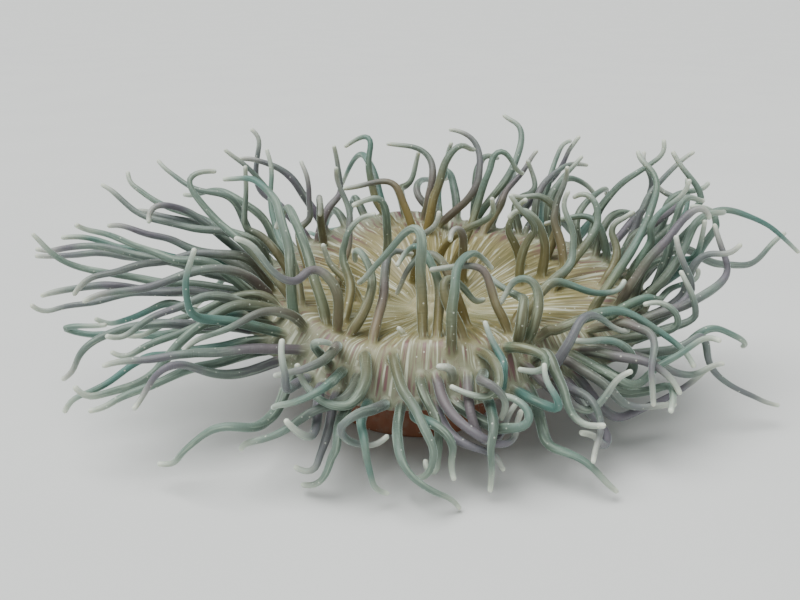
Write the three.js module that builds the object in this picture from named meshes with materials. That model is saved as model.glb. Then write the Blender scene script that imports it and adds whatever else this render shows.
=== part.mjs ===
// Long-tentacle sea anemone (Macrodactyla doreensis), a still life-size model.
//
// Units are millimetres, +Z is up and the origin is the centre of the foot on the floor.
// The foot carries a short column that flares under a wide, wavy oral disc. The disc is cut by
// thin gaps into rim sectors and disc sectors. The upper face of a sector is a grid of cells, and
// a tentacle grows out of a cell, so that each sector is one closed body with its tentacles.
// +X is the animal's right as seen from the front and -Y is the front.
//
// A place on the disc is given by its bearing (degrees from +X, anticlockwise seen from above)
// and its ring (0 at the mouth, 1 at the edge of the disc).

import * as THREE from 'three';
import { mergeVertices } from 'three/addons/utils/BufferGeometryUtils.js';

// ---- driving dimensions -------------------------------------------------------------------

const GAP = 0.3; // clear space kept between neighbouring solids
const GRID = 1 / 256; // every vertex lies on this grid, which single precision holds exactly

const FOOT_RADIUS = 54;
const ANKLE_NARROWING = 0.99; // the foot's upper edge against its outline on the floor
const FOOT_HEIGHT = 7;
const WAIST_RADIUS = 47;
const WAIST_HEIGHT = 22;
const SHOULDER = { reach: 0.45, rise: 0.62 }; // shares of the way from the waist to the disc
const COLLAR_RING = 0.78; // how far out under the disc the column reaches
const COLLAR_TOP_RINGS = [0.6, 0.4, 0.2];
const COLUMN_SIDES = 20;
const COLUMN_WAVES = [{ size: 0.03, count: 3, turn: 0 }, { size: 0.02, count: 5, turn: 1 }];
const UNDER_GAP = 2.4; // between the collar and the disc, whose flat faces don't match

const DISC_CENTRE = { x: 16, y: 6 };
const DISC_HALF_WIDTH = 132;
const DISC_HALF_DEPTH = 101;
const DISC_THICKNESS = 9;
const EDGE_THICKNESS = 6.5;
const MOUTH_LEVEL = 62;
const FOLD_RING = 0.8; // outside this ring the disc rolls over towards its edge
const FOLD_LEVEL = 75;
const FOLD_TILT = { back: 20, front: 3 }; // how much higher the back fold is, and lower the front
const EDGE_LEVEL = 68;
const EDGE_TILT = 32; // the back edge is this much higher, the front edge this much lower
const OUTLINE_WAVES = [{ size: 4, count: 3, turn: 0.7 }, { size: 2.5, count: 5, turn: 2 }];
const FOLD_WAVES = [{ size: 3, count: 4, turn: 0.4 }];
const EDGE_WAVES = [{ size: 5, count: 4, turn: 0.4 }];
const RIPPLES = [{ size: 2.5, count: 7, turn: 1 }];

const MOUTH_RING = 0.24;
const MIDDLE_SIDES = 24;
const INNER_RING = 0.6; // between the disc sectors and the rim sectors
const RING_GAP = 1; // between rows of sectors, whose flat faces don't match
const UNDERCUT = 3.4; // how far the outer wall of an inner piece leans in, clear of its neighbours

// Bearings of the cuts between sectors, and the rings between their rows of cells. The cells
// are smallest where the tentacles stand closest.
const DISC_SECTORS = {
  kind: 'disc',
  cuts: [-8, 22, 52, 82, 112, 142, 172, 202, 232, 262, 292, 322, 352],
  rings: [MOUTH_RING, 0.37, 0.48, INNER_RING],
  sideCells: 2,
};
const RIM_SECTORS = {
  kind: 'rim',
  cuts: [
    -8, 7, 24, 42, 62, 84, 108, 130, 150, 164, 178, 191, 204, 218, 232, 248, 264, 280, 295, 309, 323,
    337, 352,
  ],
  rings: [INNER_RING, 0.73, 0.82, 0.88, 0.94, 1],
  sideCells: 3,
};

const LIP_LENGTH = 30;
const LIP_WIDTH = 15;
const LIP_RADIUS = 3.2;
const LIP_LIFT = 1.6; // the lips' lowest line above the disc, clear of its flat faces
const LIP_CORNERS = 4;
const LIP_SIDES = 14;

const TENTACLE_SIDES = 4;
const TENTACLE_BASE_RADIUS = 3.6;
const TENTACLE_TIP_RADIUS = 1.9;
const TAPER_POWER = 1.15; // above 1 the base half of a tentacle stays stout
const STOUTNESS = [0.92, 1.06]; // spread of thickness from tentacle to tentacle
const ROOT_FLARE = 1.06; // how much wider a tentacle's root is than its base
const ROOT_LIMIT = 0.86; // widest root against its cell
const BEND_PER_SEGMENT = 54; // degrees that one straight length of a tentacle may turn
const LEAST_SEGMENTS = 3;
const MOST_SEGMENTS = 7;
const SHORTEST_SEGMENT = 7;
const LONGEST_SEGMENT = 36; // on average, in a tentacle that hardly bends
const TIP_BLUNTNESS = 0.8; // width of a tip's last ring against the tentacle there
const CURVE_SAMPLES = 60; // points that a curve is measured at
const PULL_ROUNDS = 24; // halvings in the search for a curve's handles
const PULL_RANGE = [0.2, 2.2]; // how far a curve's handles may reach, against its chord
const CLEARANCE = 0.65; // clear space kept between tentacles
const HANGING_RING = 0.84; // tentacles outside this ring may hang beside the disc
const HANGING_BAND = 0.12; // width of the ring over which they come to lean outwards
const HANGING_LEAN = 1.2; // slope of that lean
const HANGING_DEPTH = 6; // how far below the disc a point counts as hanging
const LEAST_LIFT = 0.45; // least slope of a leaving tentacle away from the disc
const BEND_LIMIT = 0.8; // share of a length that the inner side of a bend may use up
const LEAST_STRETCH = 0.75; // shortest that a length may be pressed to

// Crossing tentacles are eased apart in rounds. Each is drawn back to its own shape by a share
// of its displacement in every round, less and less towards the last of them.
const SETTLING = [
  { rounds: 200, stiffness: 0.06 },
  { rounds: 60, stiffness: 0.015 },
  { rounds: 60, stiffness: 0 },
];
const BETWEEN_STATIONS = [0.5]; // where a length is also kept clear of the disc, from its far end
const BESIDE_ROOT = [0.3, 0.55]; // the same for the first length, whose near end is on the disc
const OVER_DISC = 1.02; // ring inside which a point counts as over or under the disc
const BESIDE_DISC = 1.03; // ring that a hanging point is moved out to
const TINY = 1e-6;
const ROUNDS_PER_SEARCH = 20; // rounds between searches for tentacles that are near each other
const SEARCH_MARGIN = 14;

// A section with few corners stands out past the round tentacle that it stands for. This is its
// corners' distance from the centre against the round tentacle's radius, for equal areas.
const CORNER_FACTOR = Math.sqrt(
  (2 * Math.PI) / (TENTACLE_SIDES * Math.sin((2 * Math.PI) / TENTACLE_SIDES)),
);

// ---- how the tentacles are posed ----------------------------------------------------------
//
// One row for each tentacle, in groups named for where they grow:
//   [bearing, ring, length, leaving heading, leaving pitch, tip x, y, z, tip heading, tip pitch]
// A heading is the compass direction that the tentacle runs in, in degrees from +X, and a pitch
// is its climb above the horizontal. Lengths and places are in millimetres.

const POSES = {
  leftFan: [
    [185, 1.0, 145, 175, 20, -240, 0, 115, 175, 70],
    [188, 0.9, 125, 185, 20, -210, -15, 120, 185, 20],
    [178, 1.0, 145, 175, 20, -245, 20, 100, 175, -40],
    [172, 0.95, 150, 170, 25, -255, 35, 85, 175, -30],
    [174, 0.85, 125, 160, 30, -210, 40, 135, 145, 60],
    [165, 0.9, 135, 145, 45, -210, 80, 130, 160, 35],
    [168, 1.0, 105, 205, 60, -170, 5, 115, 350, -55],
    [162, 0.95, 120, 150, 60, -180, 70, 145, 150, 25],
    [197, 0.78, 125, 140, 50, -125, 15, 155, 10, 0],
    [180, 0.9, 115, 155, 30, -210, 50, 100, 165, 0],
    [187, 1.0, 130, 180, 5, -235, -10, 75, 185, -45],
    [180, 0.9, 130, 190, 35, -215, -20, 75, 235, -75],
    [192, 1.0, 135, 195, 25, -235, -35, 70, 190, -10],
    [190, 0.85, 105, 195, 10, -200, -45, 80, 195, -20],
    [195, 1.0, 105, 170, 5, -200, -15, 60, 175, -20],
    [158, 1.0, 110, 160, 30, -195, 65, 115, 155, 15],
    [176, 0.92, 130, 180, 25, -230, 15, 105, 180, 20],
    [155, 0.92, 105, 135, 45, -165, 90, 115, 140, -25],
  ],
  leftFront: [
    [212, 1.0, 105, 205, 25, -120, -90, 130, 330, 75],
    [200, 0.9, 105, 205, 40, -180, -60, 65, 190, -30],
    [214, 0.88, 85, 220, 65, -135, -75, 65, 185, -35],
    [218, 0.92, 110, 190, 10, -175, -85, 65, 190, -30],
    [200, 1.0, 150, 185, -10, -185, -45, 70, 0, -5],
    [206, 1.0, 130, 185, 10, -205, -65, 40, 190, -75],
    [212, 1.0, 130, 190, -5, -200, -90, 40, 190, -25],
    [222, 1.0, 105, 200, -20, -155, -105, 45, 195, -60],
    [216, 1.0, 110, 205, -5, -175, -110, 40, 225, -45],
    [209, 0.9, 115, 195, -15, -195, -90, 40, 205, 35],
    [208, 0.95, 95, 190, 0, -175, -70, 50, 195, -35],
    [203, 0.85, 95, 185, 25, -175, -50, 55, 185, -30],
  ],
  leftBack: [
    [228, 0.8, 105, 150, 65, -100, -70, 135, 175, 55],
    [150, 0.9, 95, 180, 65, -130, 60, 155, 180, 40],
    [172, 0.75, 95, 145, 55, -110, 40, 150, 70, 80],
    [140, 0.95, 100, 155, 50, -110, 105, 165, 70, 80],
    [135, 1.0, 90, 175, 55, -125, 90, 145, 180, 0],
    [205, 0.75, 135, 110, 30, -100, 60, 155, 100, 60],
    [212, 0.85, 125, 110, 45, -120, 25, 140, 160, -20],
    [222, 0.72, 105, 125, 50, -90, 0, 120, 140, -65],
    [172, 0.6, 100, 115, 45, -75, 60, 150, 125, 70],
    [138, 0.95, 80, 75, 55, -60, 110, 150, 135, 70],
    [178, 0.5, 95, 80, 40, -55, 60, 145, 140, 60],
    [110, 0.75, 95, 155, 35, -50, 110, 150, 165, -35],
    [142, 0.85, 70, 260, 65, -60, 45, 115, 315, -75],
    [170, 0.3, 95, 310, 80, -40, 0, 130, 185, -45],
    [220, 0.68, 80, 65, 45, -25, -10, 135, 25, 40],
  ],
  back: [
    [97, 0.85, 85, 50, 60, -20, 110, 150, 175, -10],
    [102, 0.88, 70, 110, 45, 5, 130, 140, 65, 65],
    [108, 0.65, 75, 145, 60, -50, 80, 125, 175, -5],
    [86, 0.85, 95, 25, 40, 25, 120, 160, 165, 0],
    [95, 0.72, 90, 50, 80, 45, 90, 145, 10, -75],
    [90, 1.0, 65, 100, 45, 25, 130, 150, 110, 75],
    [68, 0.45, 115, 20, 60, 75, 60, 135, 5, -65],
    [72, 0.95, 105, 25, 45, 65, 130, 165, 170, -10],
    [78, 1.0, 70, 45, 80, 65, 110, 135, 5, -50],
    [52, 0.9, 70, 110, 65, 85, 110, 140, 135, 65],
    [66, 0.75, 90, 55, 40, 90, 125, 145, 40, 40],
    [50, 1.0, 85, 80, 55, 115, 130, 155, 50, 55],
    [60, 1.0, 100, 30, 45, 125, 130, 155, 30, 55],
    [38, 1.0, 80, 85, 60, 120, 110, 145, 35, 45],
    [44, 0.92, 85, 65, 65, 135, 120, 130, 20, -25],
    [15, 0.7, 80, 105, 65, 105, 50, 150, 35, 75],
    [38, 0.9, 85, 125, 80, 135, 100, 115, 10, -50],
    [30, 1.0, 70, 75, 60, 150, 100, 120, 25, -35],
  ],
  middle: [
    [305, 0.65, 105, 45, 25, 90, 0, 140, 145, 65],
    [0, 0.55, 90, 35, 40, 105, 40, 135, 160, 10],
    [0, 0.75, 70, 35, 35, 145, 30, 115, 5, 0],
    [18, 0.9, 70, 130, 60, 90, 60, 105, 170, -10],
    [10, 0.45, 75, 135, 85, 60, 20, 135, 175, 50],
    [32, 0.55, 60, 175, 80, 75, 40, 130, 0, 55],
    [20, 0.5, 65, 5, 70, 60, 30, 120, 180, -40],
    [25, 0.62, 75, 25, 55, 65, 50, 120, 175, -45],
    [92, 0.45, 80, 265, 65, 45, 20, 130, 195, 15],
    [120, 0.3, 75, 285, 50, 20, 0, 125, 335, 40],
    [55, 0.3, 65, 280, 70, 20, 10, 105, 215, -70],
    [295, 0.8, 75, 130, 55, 10, -50, 105, 170, -15],
    [298, 0.88, 75, 85, 45, 35, -40, 105, 145, 40],
    [270, 0.85, 95, 95, 25, 45, -30, 100, 35, -55],
    [290, 0.5, 95, 155, 75, -15, -30, 85, 160, -80],
    [275, 0.82, 80, 130, 55, 40, -45, 80, 35, -50],
    [262, 0.82, 125, 80, 75, -30, -45, 90, 160, -60],
    [265, 0.75, 85, 95, 45, -10, -20, 105, 135, -40],
    [250, 0.72, 70, 110, 85, -5, -60, 75, 10, -80],
    [242, 0.78, 85, 80, 35, 0, -10, 100, 35, -35],
    [228, 0.72, 80, 25, 20, -40, -20, 100, 100, -80],
    [188, 0.42, 50, 145, 60, -60, 10, 105, 165, 70],
    [290, 0.95, 55, 135, 70, 35, -80, 85, 165, 60],
    [302, 0.84, 65, 65, 50, 50, -50, 85, 80, -80],
  ],
  right: [
    [302, 0.78, 100, 50, 10, 135, -20, 75, 15, -5],
    [307, 0.98, 85, 60, 75, 115, -60, 70, 10, -50],
    [328, 0.92, 85, 0, -5, 135, -50, 85, 180, 15],
    [332, 0.85, 105, 40, 15, 190, 0, 80, 20, 15],
    [340, 1.0, 75, 355, 40, 155, -40, 105, 185, 60],
    [345, 0.98, 80, 10, 50, 155, -20, 120, 165, 70],
    [350, 0.95, 85, 20, 35, 175, 0, 120, 150, 70],
    [338, 0.92, 115, 20, 10, 185, 0, 120, 160, 55],
    [352, 1.0, 85, 5, 40, 195, -10, 110, 5, -20],
    [340, 0.75, 130, 35, 25, 145, 30, 160, 145, 20],
    [20, 1.0, 85, 30, 55, 150, 70, 155, 165, 50],
    [2, 0.95, 110, 25, 50, 165, 30, 160, 160, 45],
    [25, 1.0, 95, 0, 65, 175, 60, 160, 0, 45],
    [15, 1.0, 100, 20, 60, 190, 60, 155, 15, 40],
    [356, 0.92, 95, 5, 55, 170, 0, 145, 5, 35],
    [358, 1.0, 95, 20, 65, 185, 10, 130, 10, -45],
    [354, 0.85, 90, 5, 60, 185, 0, 130, 5, -45],
    [348, 1.0, 100, 15, 40, 205, 10, 120, 15, -35],
    [10, 1.0, 90, 10, 55, 205, 40, 130, 5, 0],
    [8, 0.9, 95, 35, 45, 190, 60, 135, 85, 60],
    [0, 1.0, 95, 15, 40, 175, 20, 135, 165, -10],
    [5, 0.85, 100, 30, 45, 150, 50, 140, 160, 15],
    [6, 1.0, 145, 20, 40, 265, 40, 90, 10, -35],
    [358, 0.9, 140, 25, 25, 260, 60, 95, 35, 35],
  ],
  rightFront: [
    [335, 1.0, 100, 10, -10, 210, -30, 50, 10, -40],
    [316, 0.9, 105, 0, -20, 175, -60, 70, 0, 30],
    [320, 0.98, 100, 10, -5, 180, -50, 60, 5, 30],
    [330, 0.98, 140, 5, 15, 225, -40, 15, 5, -25],
    [306, 0.88, 110, 15, 15, 165, -50, 50, 5, -35],
    [300, 0.91, 80, 335, -40, 110, -95, 75, 345, 60],
    [325, 1.0, 80, 345, -35, 85, -75, 60, 190, -30],
    [324, 0.93, 70, 325, 0, 150, -90, 50, 335, -50],
    [330, 0.9, 90, 340, 10, 130, -95, 40, 265, -80],
    [326, 0.97, 85, 0, -35, 175, -60, 50, 0, 60],
    [314, 0.95, 80, 330, -30, 145, -90, 40, 345, 20],
    [322, 1.0, 80, 340, -30, 135, -100, 35, 235, -50],
    [318, 1.0, 85, 330, -25, 95, -110, 40, 220, 65],
    [304, 0.93, 70, 300, -10, 100, -120, 30, 310, 0],
    [310, 1.0, 75, 285, -20, 90, -125, 15, 240, -45],
    [300, 1.0, 85, 280, -50, 105, -130, 6, 330, -45],
  ],
  front: [
    [250, 0.85, 105, 270, -10, -5, -125, 10, 160, -30],
    [240, 0.85, 90, 275, -10, -70, -110, 70, 150, 45],
    [236, 0.93, 85, 280, 0, -80, -115, 55, 160, -15],
    [233, 1.0, 75, 275, 20, -70, -120, 50, 135, 40],
    [241, 0.93, 100, 255, -5, -105, -120, 30, 165, -15],
    [225, 1.0, 130, 265, -35, -135, -120, 6, 160, -60],
    [245, 1.0, 95, 250, 25, -65, -120, 5, 155, -45],
    [256, 1.0, 95, 265, 20, -15, -125, 30, 10, -15],
    [240, 1.0, 75, 260, 0, -65, -120, 15, 125, 0],
    [253, 1.0, 85, 270, 20, -20, -130, 5, 40, -65],
    [259, 1.0, 100, 270, 0, 25, -135, 5, 20, -30],
    [262, 0.95, 75, 295, 0, 0, -125, 20, 125, 60],
    [265, 1.0, 70, 275, 15, 20, -120, 15, 135, -60],
    [271, 1.0, 70, 280, -20, 50, -115, 20, 50, -45],
    [281, 1.0, 75, 290, 0, 45, -120, 6, 60, -65],
    [267, 0.93, 85, 290, -15, 50, -110, 50, 140, 65],
    [274, 1.0, 90, 320, -30, 45, -105, 50, 150, 0],
    [276, 0.92, 75, 270, -35, 50, -100, 60, 50, 75],
    [283, 0.93, 70, 255, -5, 40, -110, 35, 140, -65],
    [272, 0.9, 75, 220, 55, 10, -95, 60, 35, 65],
    [285, 0.85, 65, 270, -15, 15, -100, 55, 150, 10],
    [294, 0.85, 75, 315, 20, 50, -95, 65, 155, 0],
    [295, 1.0, 70, 330, -5, 65, -105, 70, 130, 35],
    [226, 0.97, 85, 260, 20, -70, -115, 85, 100, 50],
    [230, 0.95, 60, 280, 50, -40, -95, 75, 40, -30],
    [231, 0.9, 75, 260, 30, -80, -105, 65, 140, -20],
  ],
};

// Behind and below the back edge the tentacles hang outwards in an even row.
const BACK_ROW = {
  from: 28,
  to: 166,
  step: 13,
  ring: 1.0,
  length: 105,
  spread: 14, // degrees
  reach: [0.65, 0.85], // share of the length that the tip stands away from the root
  drop: [-10, 55],
  leavingPitch: [25, 50],
  tipPitch: [-50, 40],
  tipTurn: 60,
};

// ---- small helpers ------------------------------------------------------------------------

const radians = THREE.MathUtils.degToRad;
const mix = THREE.MathUtils.lerp;
const clamp = THREE.MathUtils.clamp;

// A repeatable stream of numbers from 0 to 1.
function* randomStream(seed) {
  let state = seed;
  while (true) {
    state = (state * 1664525 + 1013904223) % 4294967296;
    yield state / 4294967296;
  }
}

// The sum of some waves round the disc, on a bearing in radians.
function waves(parts, bearing) {
  return parts.reduce((sum, { size, count, turn }) => sum + size * Math.sin(count * bearing + turn), 0);
}

// The unit vector along a heading and a pitch in degrees.
function direction(heading, pitch) {
  const level = Math.cos(radians(pitch));
  return new THREE.Vector3(
    level * Math.cos(radians(heading)),
    level * Math.sin(radians(heading)),
    Math.sin(radians(pitch)),
  );
}

// Moves every vertex of a geometry by a function and welds what then coincides.
function reshape(geometry, place) {
  geometry.deleteAttribute('normal');
  geometry.deleteAttribute('uv');
  const position = geometry.attributes.position;
  const point = new THREE.Vector3();
  for (let i = 0; i < position.count; i += 1) {
    point.fromBufferAttribute(position, i);
    const placed = place(point);
    position.setXYZ(i, placed.x, placed.y, placed.z);
  }
  return mergeVertices(geometry, 1e-3);
}

// ---- oral disc ----------------------------------------------------------------------------

// Distance from the disc's centre to its edge, on a bearing in radians.
function edgeRadius(bearing) {
  const across = Math.cos(bearing) / DISC_HALF_WIDTH;
  const along = Math.sin(bearing) / DISC_HALF_DEPTH;
  return 1 / Math.hypot(across, along) + waves(OUTLINE_WAVES, bearing);
}

// Height of the disc's upper face: a shallow dish that rolls over into a waved edge.
function discHeight(ring, bearing) {
  const back = Math.sin(bearing);
  const ripple = waves(RIPPLES, bearing);
  const foldTilt = back > 0 ? FOLD_TILT.back : FOLD_TILT.front;
  const fold = FOLD_LEVEL + foldTilt * back + waves(FOLD_WAVES, bearing);
  const edge = EDGE_LEVEL + EDGE_TILT * back + waves(EDGE_WAVES, bearing);
  if (ring < FOLD_RING) {
    const q = ring / FOLD_RING;
    const rise = q * q * (3 - 2 * q);
    return MOUTH_LEVEL + (fold - MOUTH_LEVEL) * rise + ripple * q * q;
  }
  const q = (ring - FOLD_RING) / (1 - FOLD_RING);
  return fold + (edge - fold) * q * q * (2 - q) + ripple * (1 - q);
}

// A point on the upper face.
function discPoint(ring, bearing) {
  const reach = edgeRadius(bearing) * ring;
  return new THREE.Vector3(
    DISC_CENTRE.x + reach * Math.cos(bearing),
    DISC_CENTRE.y + reach * Math.sin(bearing),
    discHeight(ring, bearing),
  );
}

// The ring and bearing of the disc under a point.
function discPlace(point) {
  const dx = point.x - DISC_CENTRE.x;
  const dy = point.y - DISC_CENTRE.y;
  const bearing = Math.atan2(dy, dx);
  return { ring: Math.hypot(dx, dy) / edgeRadius(bearing), bearing };
}

// The upward direction square to the upper face.
function discNormal(ring, bearing) {
  const step = 0.01;
  if (ring < 2 * step) return new THREE.Vector3(0, 0, 1);
  const outer = discPoint(ring + step, bearing);
  const inner = discPoint(ring - step, bearing);
  const ahead = discPoint(ring, bearing + step);
  const behind = discPoint(ring, bearing - step);
  const outward = outer.sub(inner);
  const around = ahead.sub(behind);
  return outward.cross(around).normalize();
}

// A point below the upper face, at a share of the disc's thickness. The thickness is measured
// straight down in the middle, where the disc is level, and square to the face on the fold.
function discLayer(ring, bearing, depth) {
  const thickness = mix(DISC_THICKNESS, EDGE_THICKNESS, ring);
  const up = new THREE.Vector3(0, 0, 1);
  const share = clamp((ring - INNER_RING) / (FOLD_RING - INNER_RING), 0, 1);
  up.lerp(discNormal(ring, bearing), share).normalize();
  return discPoint(ring, bearing).addScaledVector(up, -depth * thickness);
}

// The middle of the disc round the mouth.
function discMiddle() {
  const start = radians(90 + DISC_SECTORS.cuts[0]);
  const cylinder = new THREE.CylinderGeometry(1, 1, 1, MIDDLE_SIDES, 1, false, start);
  return reshape(cylinder, (point) => {
    const bearing = Math.atan2(-point.z, point.x);
    const full = MOUTH_RING - RING_GAP / 2 / edgeRadius(bearing);
    const undercut = point.y < 0 ? UNDERCUT / edgeRadius(bearing) : 0;
    const ring = Math.hypot(point.x, point.z) * (full - undercut);
    return discLayer(ring, bearing, 0.5 - point.y);
  });
}

// The lips: an oval ring that rests on the middle of the disc.
function lips() {
  const section = [];
  for (let i = 0; i <= LIP_CORNERS; i += 1) {
    const angle = (2 * Math.PI * i) / LIP_CORNERS;
    section.push(new THREE.Vector2(1 + 0.5 * Math.cos(angle), Math.sin(angle)));
  }
  const ring = new THREE.LatheGeometry(section, LIP_SIDES);
  return reshape(ring, (point) => {
    const bearing = Math.atan2(-point.z, point.x);
    const reach = Math.hypot(point.x, point.z) - 1;
    const x = (LIP_LENGTH / 2 + 2 * LIP_RADIUS * reach) * Math.cos(bearing);
    const y = (LIP_WIDTH / 2 + 2 * LIP_RADIUS * reach) * Math.sin(bearing);
    const place = new THREE.Vector3(DISC_CENTRE.x + x, DISC_CENTRE.y + y, 0);
    const under = discPlace(place);
    place.z = discHeight(under.ring, under.bearing) + LIP_LIFT + (1 + point.y) * LIP_RADIUS;
    return place;
  });
}

// ---- foot and column ----------------------------------------------------------------------

// Outline of the column's wall, from the floor up to the underside of the disc.
function wallPoint(share, bearing) {
  const wobble = 1 + waves(COLUMN_WAVES, bearing);
  const footReach = FOOT_RADIUS * wobble;
  const waistReach = WAIST_RADIUS * wobble;
  const under = discLayer(COLLAR_RING, bearing, 1);
  under.addScaledVector(discNormal(COLLAR_RING, bearing), -UNDER_GAP);
  const heading = new THREE.Vector3(Math.cos(bearing), Math.sin(bearing), 0);
  const foot = heading.clone().multiplyScalar(footReach);
  const ankle = heading.clone().multiplyScalar(footReach * ANKLE_NARROWING);
  ankle.z = FOOT_HEIGHT;
  const waist = heading.clone().multiplyScalar(waistReach);
  waist.z = WAIST_HEIGHT;
  const shoulder = waist.clone().lerp(under, SHOULDER.reach);
  shoulder.z = mix(waist.z, under.z, SHOULDER.rise);
  const rows = [foot, ankle, waist, shoulder, under];
  const place = share * (rows.length - 1);
  const low = Math.min(Math.floor(place), rows.length - 2);
  return rows[low].clone().lerp(rows[low + 1], place - low);
}

// A slice of the foot or the lower column between two heights given as shares of the wall.
function columnSlice(low, high) {
  const cylinder = new THREE.CylinderGeometry(1, 1, 1, COLUMN_SIDES, 1);
  return reshape(cylinder, (point) => {
    const bearing = Math.atan2(-point.z, point.x);
    const share = mix(low, high, point.y + 0.5);
    const wall = wallPoint(share, bearing);
    const reach = Math.hypot(point.x, point.z);
    const lift = low > 0 && point.y < 0 ? GAP : 0;
    return new THREE.Vector3(wall.x * reach, wall.y * reach, wall.z + lift);
  });
}

// The flared top of the column, whose upper face follows the underside of the disc. Its profile
// runs up the wall at levels 0 to 2, and then in over the top at level 3.
function columnCollar(low) {
  const profile = [[0, 0], [1, 0], [1, 1], [1, 2], ...COLLAR_TOP_RINGS.map((ring) => [ring, 3]), [0, 3]];
  const outline = profile.map(([reach, level]) => new THREE.Vector2(reach, level));
  const lathe = new THREE.LatheGeometry(outline, COLUMN_SIDES);
  return reshape(lathe, (point) => {
    const bearing = Math.atan2(-point.z, point.x);
    const reach = Math.hypot(point.x, point.z);
    if (point.y > 2.5) {
      const under = discLayer(reach, bearing, 1);
      return under.addScaledVector(discNormal(reach, bearing), -UNDER_GAP);
    }
    const wall = wallPoint(mix(low, 1, point.y / 2), bearing);
    const lift = point.y < 0.5 ? GAP : 0;
    return new THREE.Vector3(wall.x * reach, wall.y * reach, wall.z + lift);
  });
}

// ---- tentacles ----------------------------------------------------------------------------

// All the tentacles, as plain records: the posed ones and the row behind the back edge.
function gatherTentacles() {
  const random = randomStream(7);
  const draw = () => random.next().value;
  const tentacles = [];
  for (const rows of Object.values(POSES)) {
    for (const row of rows) {
      const [bearing, ring, length, outHeading, outPitch, x, y, z, tipHeading, tipPitch] = row;
      tentacles.push({
        bearing,
        ring,
        length,
        leave: direction(outHeading, outPitch),
        tip: new THREE.Vector3(x, y, z),
        arrive: direction(tipHeading, tipPitch),
        stoutness: mix(...STOUTNESS, draw()),
      });
    }
  }
  const { from, to, step, ring, length, spread, tipTurn } = BACK_ROW;
  for (let bearing = from; bearing <= to; bearing += step) {
    const turned = bearing + spread * (draw() - 0.5);
    const heading = turned + 2 * spread * (draw() - 0.5);
    const reach = length * mix(...BACK_ROW.reach, draw());
    const root = discPoint(ring, radians(turned));
    const tip = root.clone().addScaledVector(direction(heading, 0), reach);
    tip.z = root.z - mix(...BACK_ROW.drop, draw());
    tentacles.push({
      bearing: turned,
      ring,
      length,
      leave: direction(turned, mix(...BACK_ROW.leavingPitch, draw())),
      tip,
      arrive: direction(heading + tipTurn * (draw() - 0.5), mix(...BACK_ROW.tipPitch, draw())),
      stoutness: mix(...STOUTNESS, draw()),
    });
  }
  return tentacles;
}

// Gives each tentacle a cell of the disc near the place it should grow from. It starts from any
// cells and then trades them for as long as a trade brings the roots nearer.
function seatRoots(tentacles, cells) {
  const cost = (tentacle, cell) =>
    tentacle ? tentacle.wanted.distanceToSquared(cell.centre) : 0;
  for (const tentacle of tentacles) {
    tentacle.wanted = discPoint(tentacle.ring, radians(tentacle.bearing));
  }
  cells.forEach((cell, i) => {
    cell.tentacle = tentacles[i] ?? null;
  });
  for (let traded = true; traded;) {
    traded = false;
    for (const a of cells) {
      for (const b of cells) {
        const now = cost(a.tentacle, a) + cost(b.tentacle, b);
        const then = cost(a.tentacle, b) + cost(b.tentacle, a);
        if (then > now - TINY) continue;
        [a.tentacle, b.tentacle] = [b.tentacle, a.tentacle];
        traded = true;
      }
    }
  }
  for (const cell of cells) if (cell.tentacle) cell.tentacle.cell = cell;
}

// The direction away from the disc at a tentacle's root. Near the edge it leans outwards.
function freeDirection(root) {
  const { ring, bearing } = discPlace(root);
  const outward = new THREE.Vector3(Math.cos(bearing), Math.sin(bearing), 0);
  const lean = HANGING_LEAN * clamp((ring - HANGING_RING) / HANGING_BAND, 0, 1);
  return discNormal(ring, bearing).addScaledVector(outward, lean).normalize();
}

// Turns a run away from the disc where it slopes too little along the free direction.
function lifted(run, free) {
  const lack = LEAST_LIFT * run.length() - run.dot(free);
  return lack > 0 ? run.clone().addScaledVector(free, lack) : run.clone();
}

// The curve of one tentacle: it leaves and arrives as told, and bows to take up its length.
function tentacleCurve(tentacle) {
  const { tip, arrive, length } = tentacle;
  const root = tentacle.cell.centre.clone();
  const leave = lifted(tentacle.leave, freeDirection(root)).normalize();
  const chord = root.distanceTo(tip);
  let [low, high] = PULL_RANGE.map((share) => share * chord);
  let curve = null;
  for (let i = 0; i < PULL_ROUNDS; i += 1) {
    const pull = (low + high) / 2;
    const first = root.clone().addScaledVector(leave, pull);
    const second = tip.clone().addScaledVector(arrive, -pull);
    curve = new THREE.CubicBezierCurve3(root, first, second, tip);
    if (curve.getLength() > length) high = pull;
    else low = pull;
  }
  return curve;
}

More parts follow.
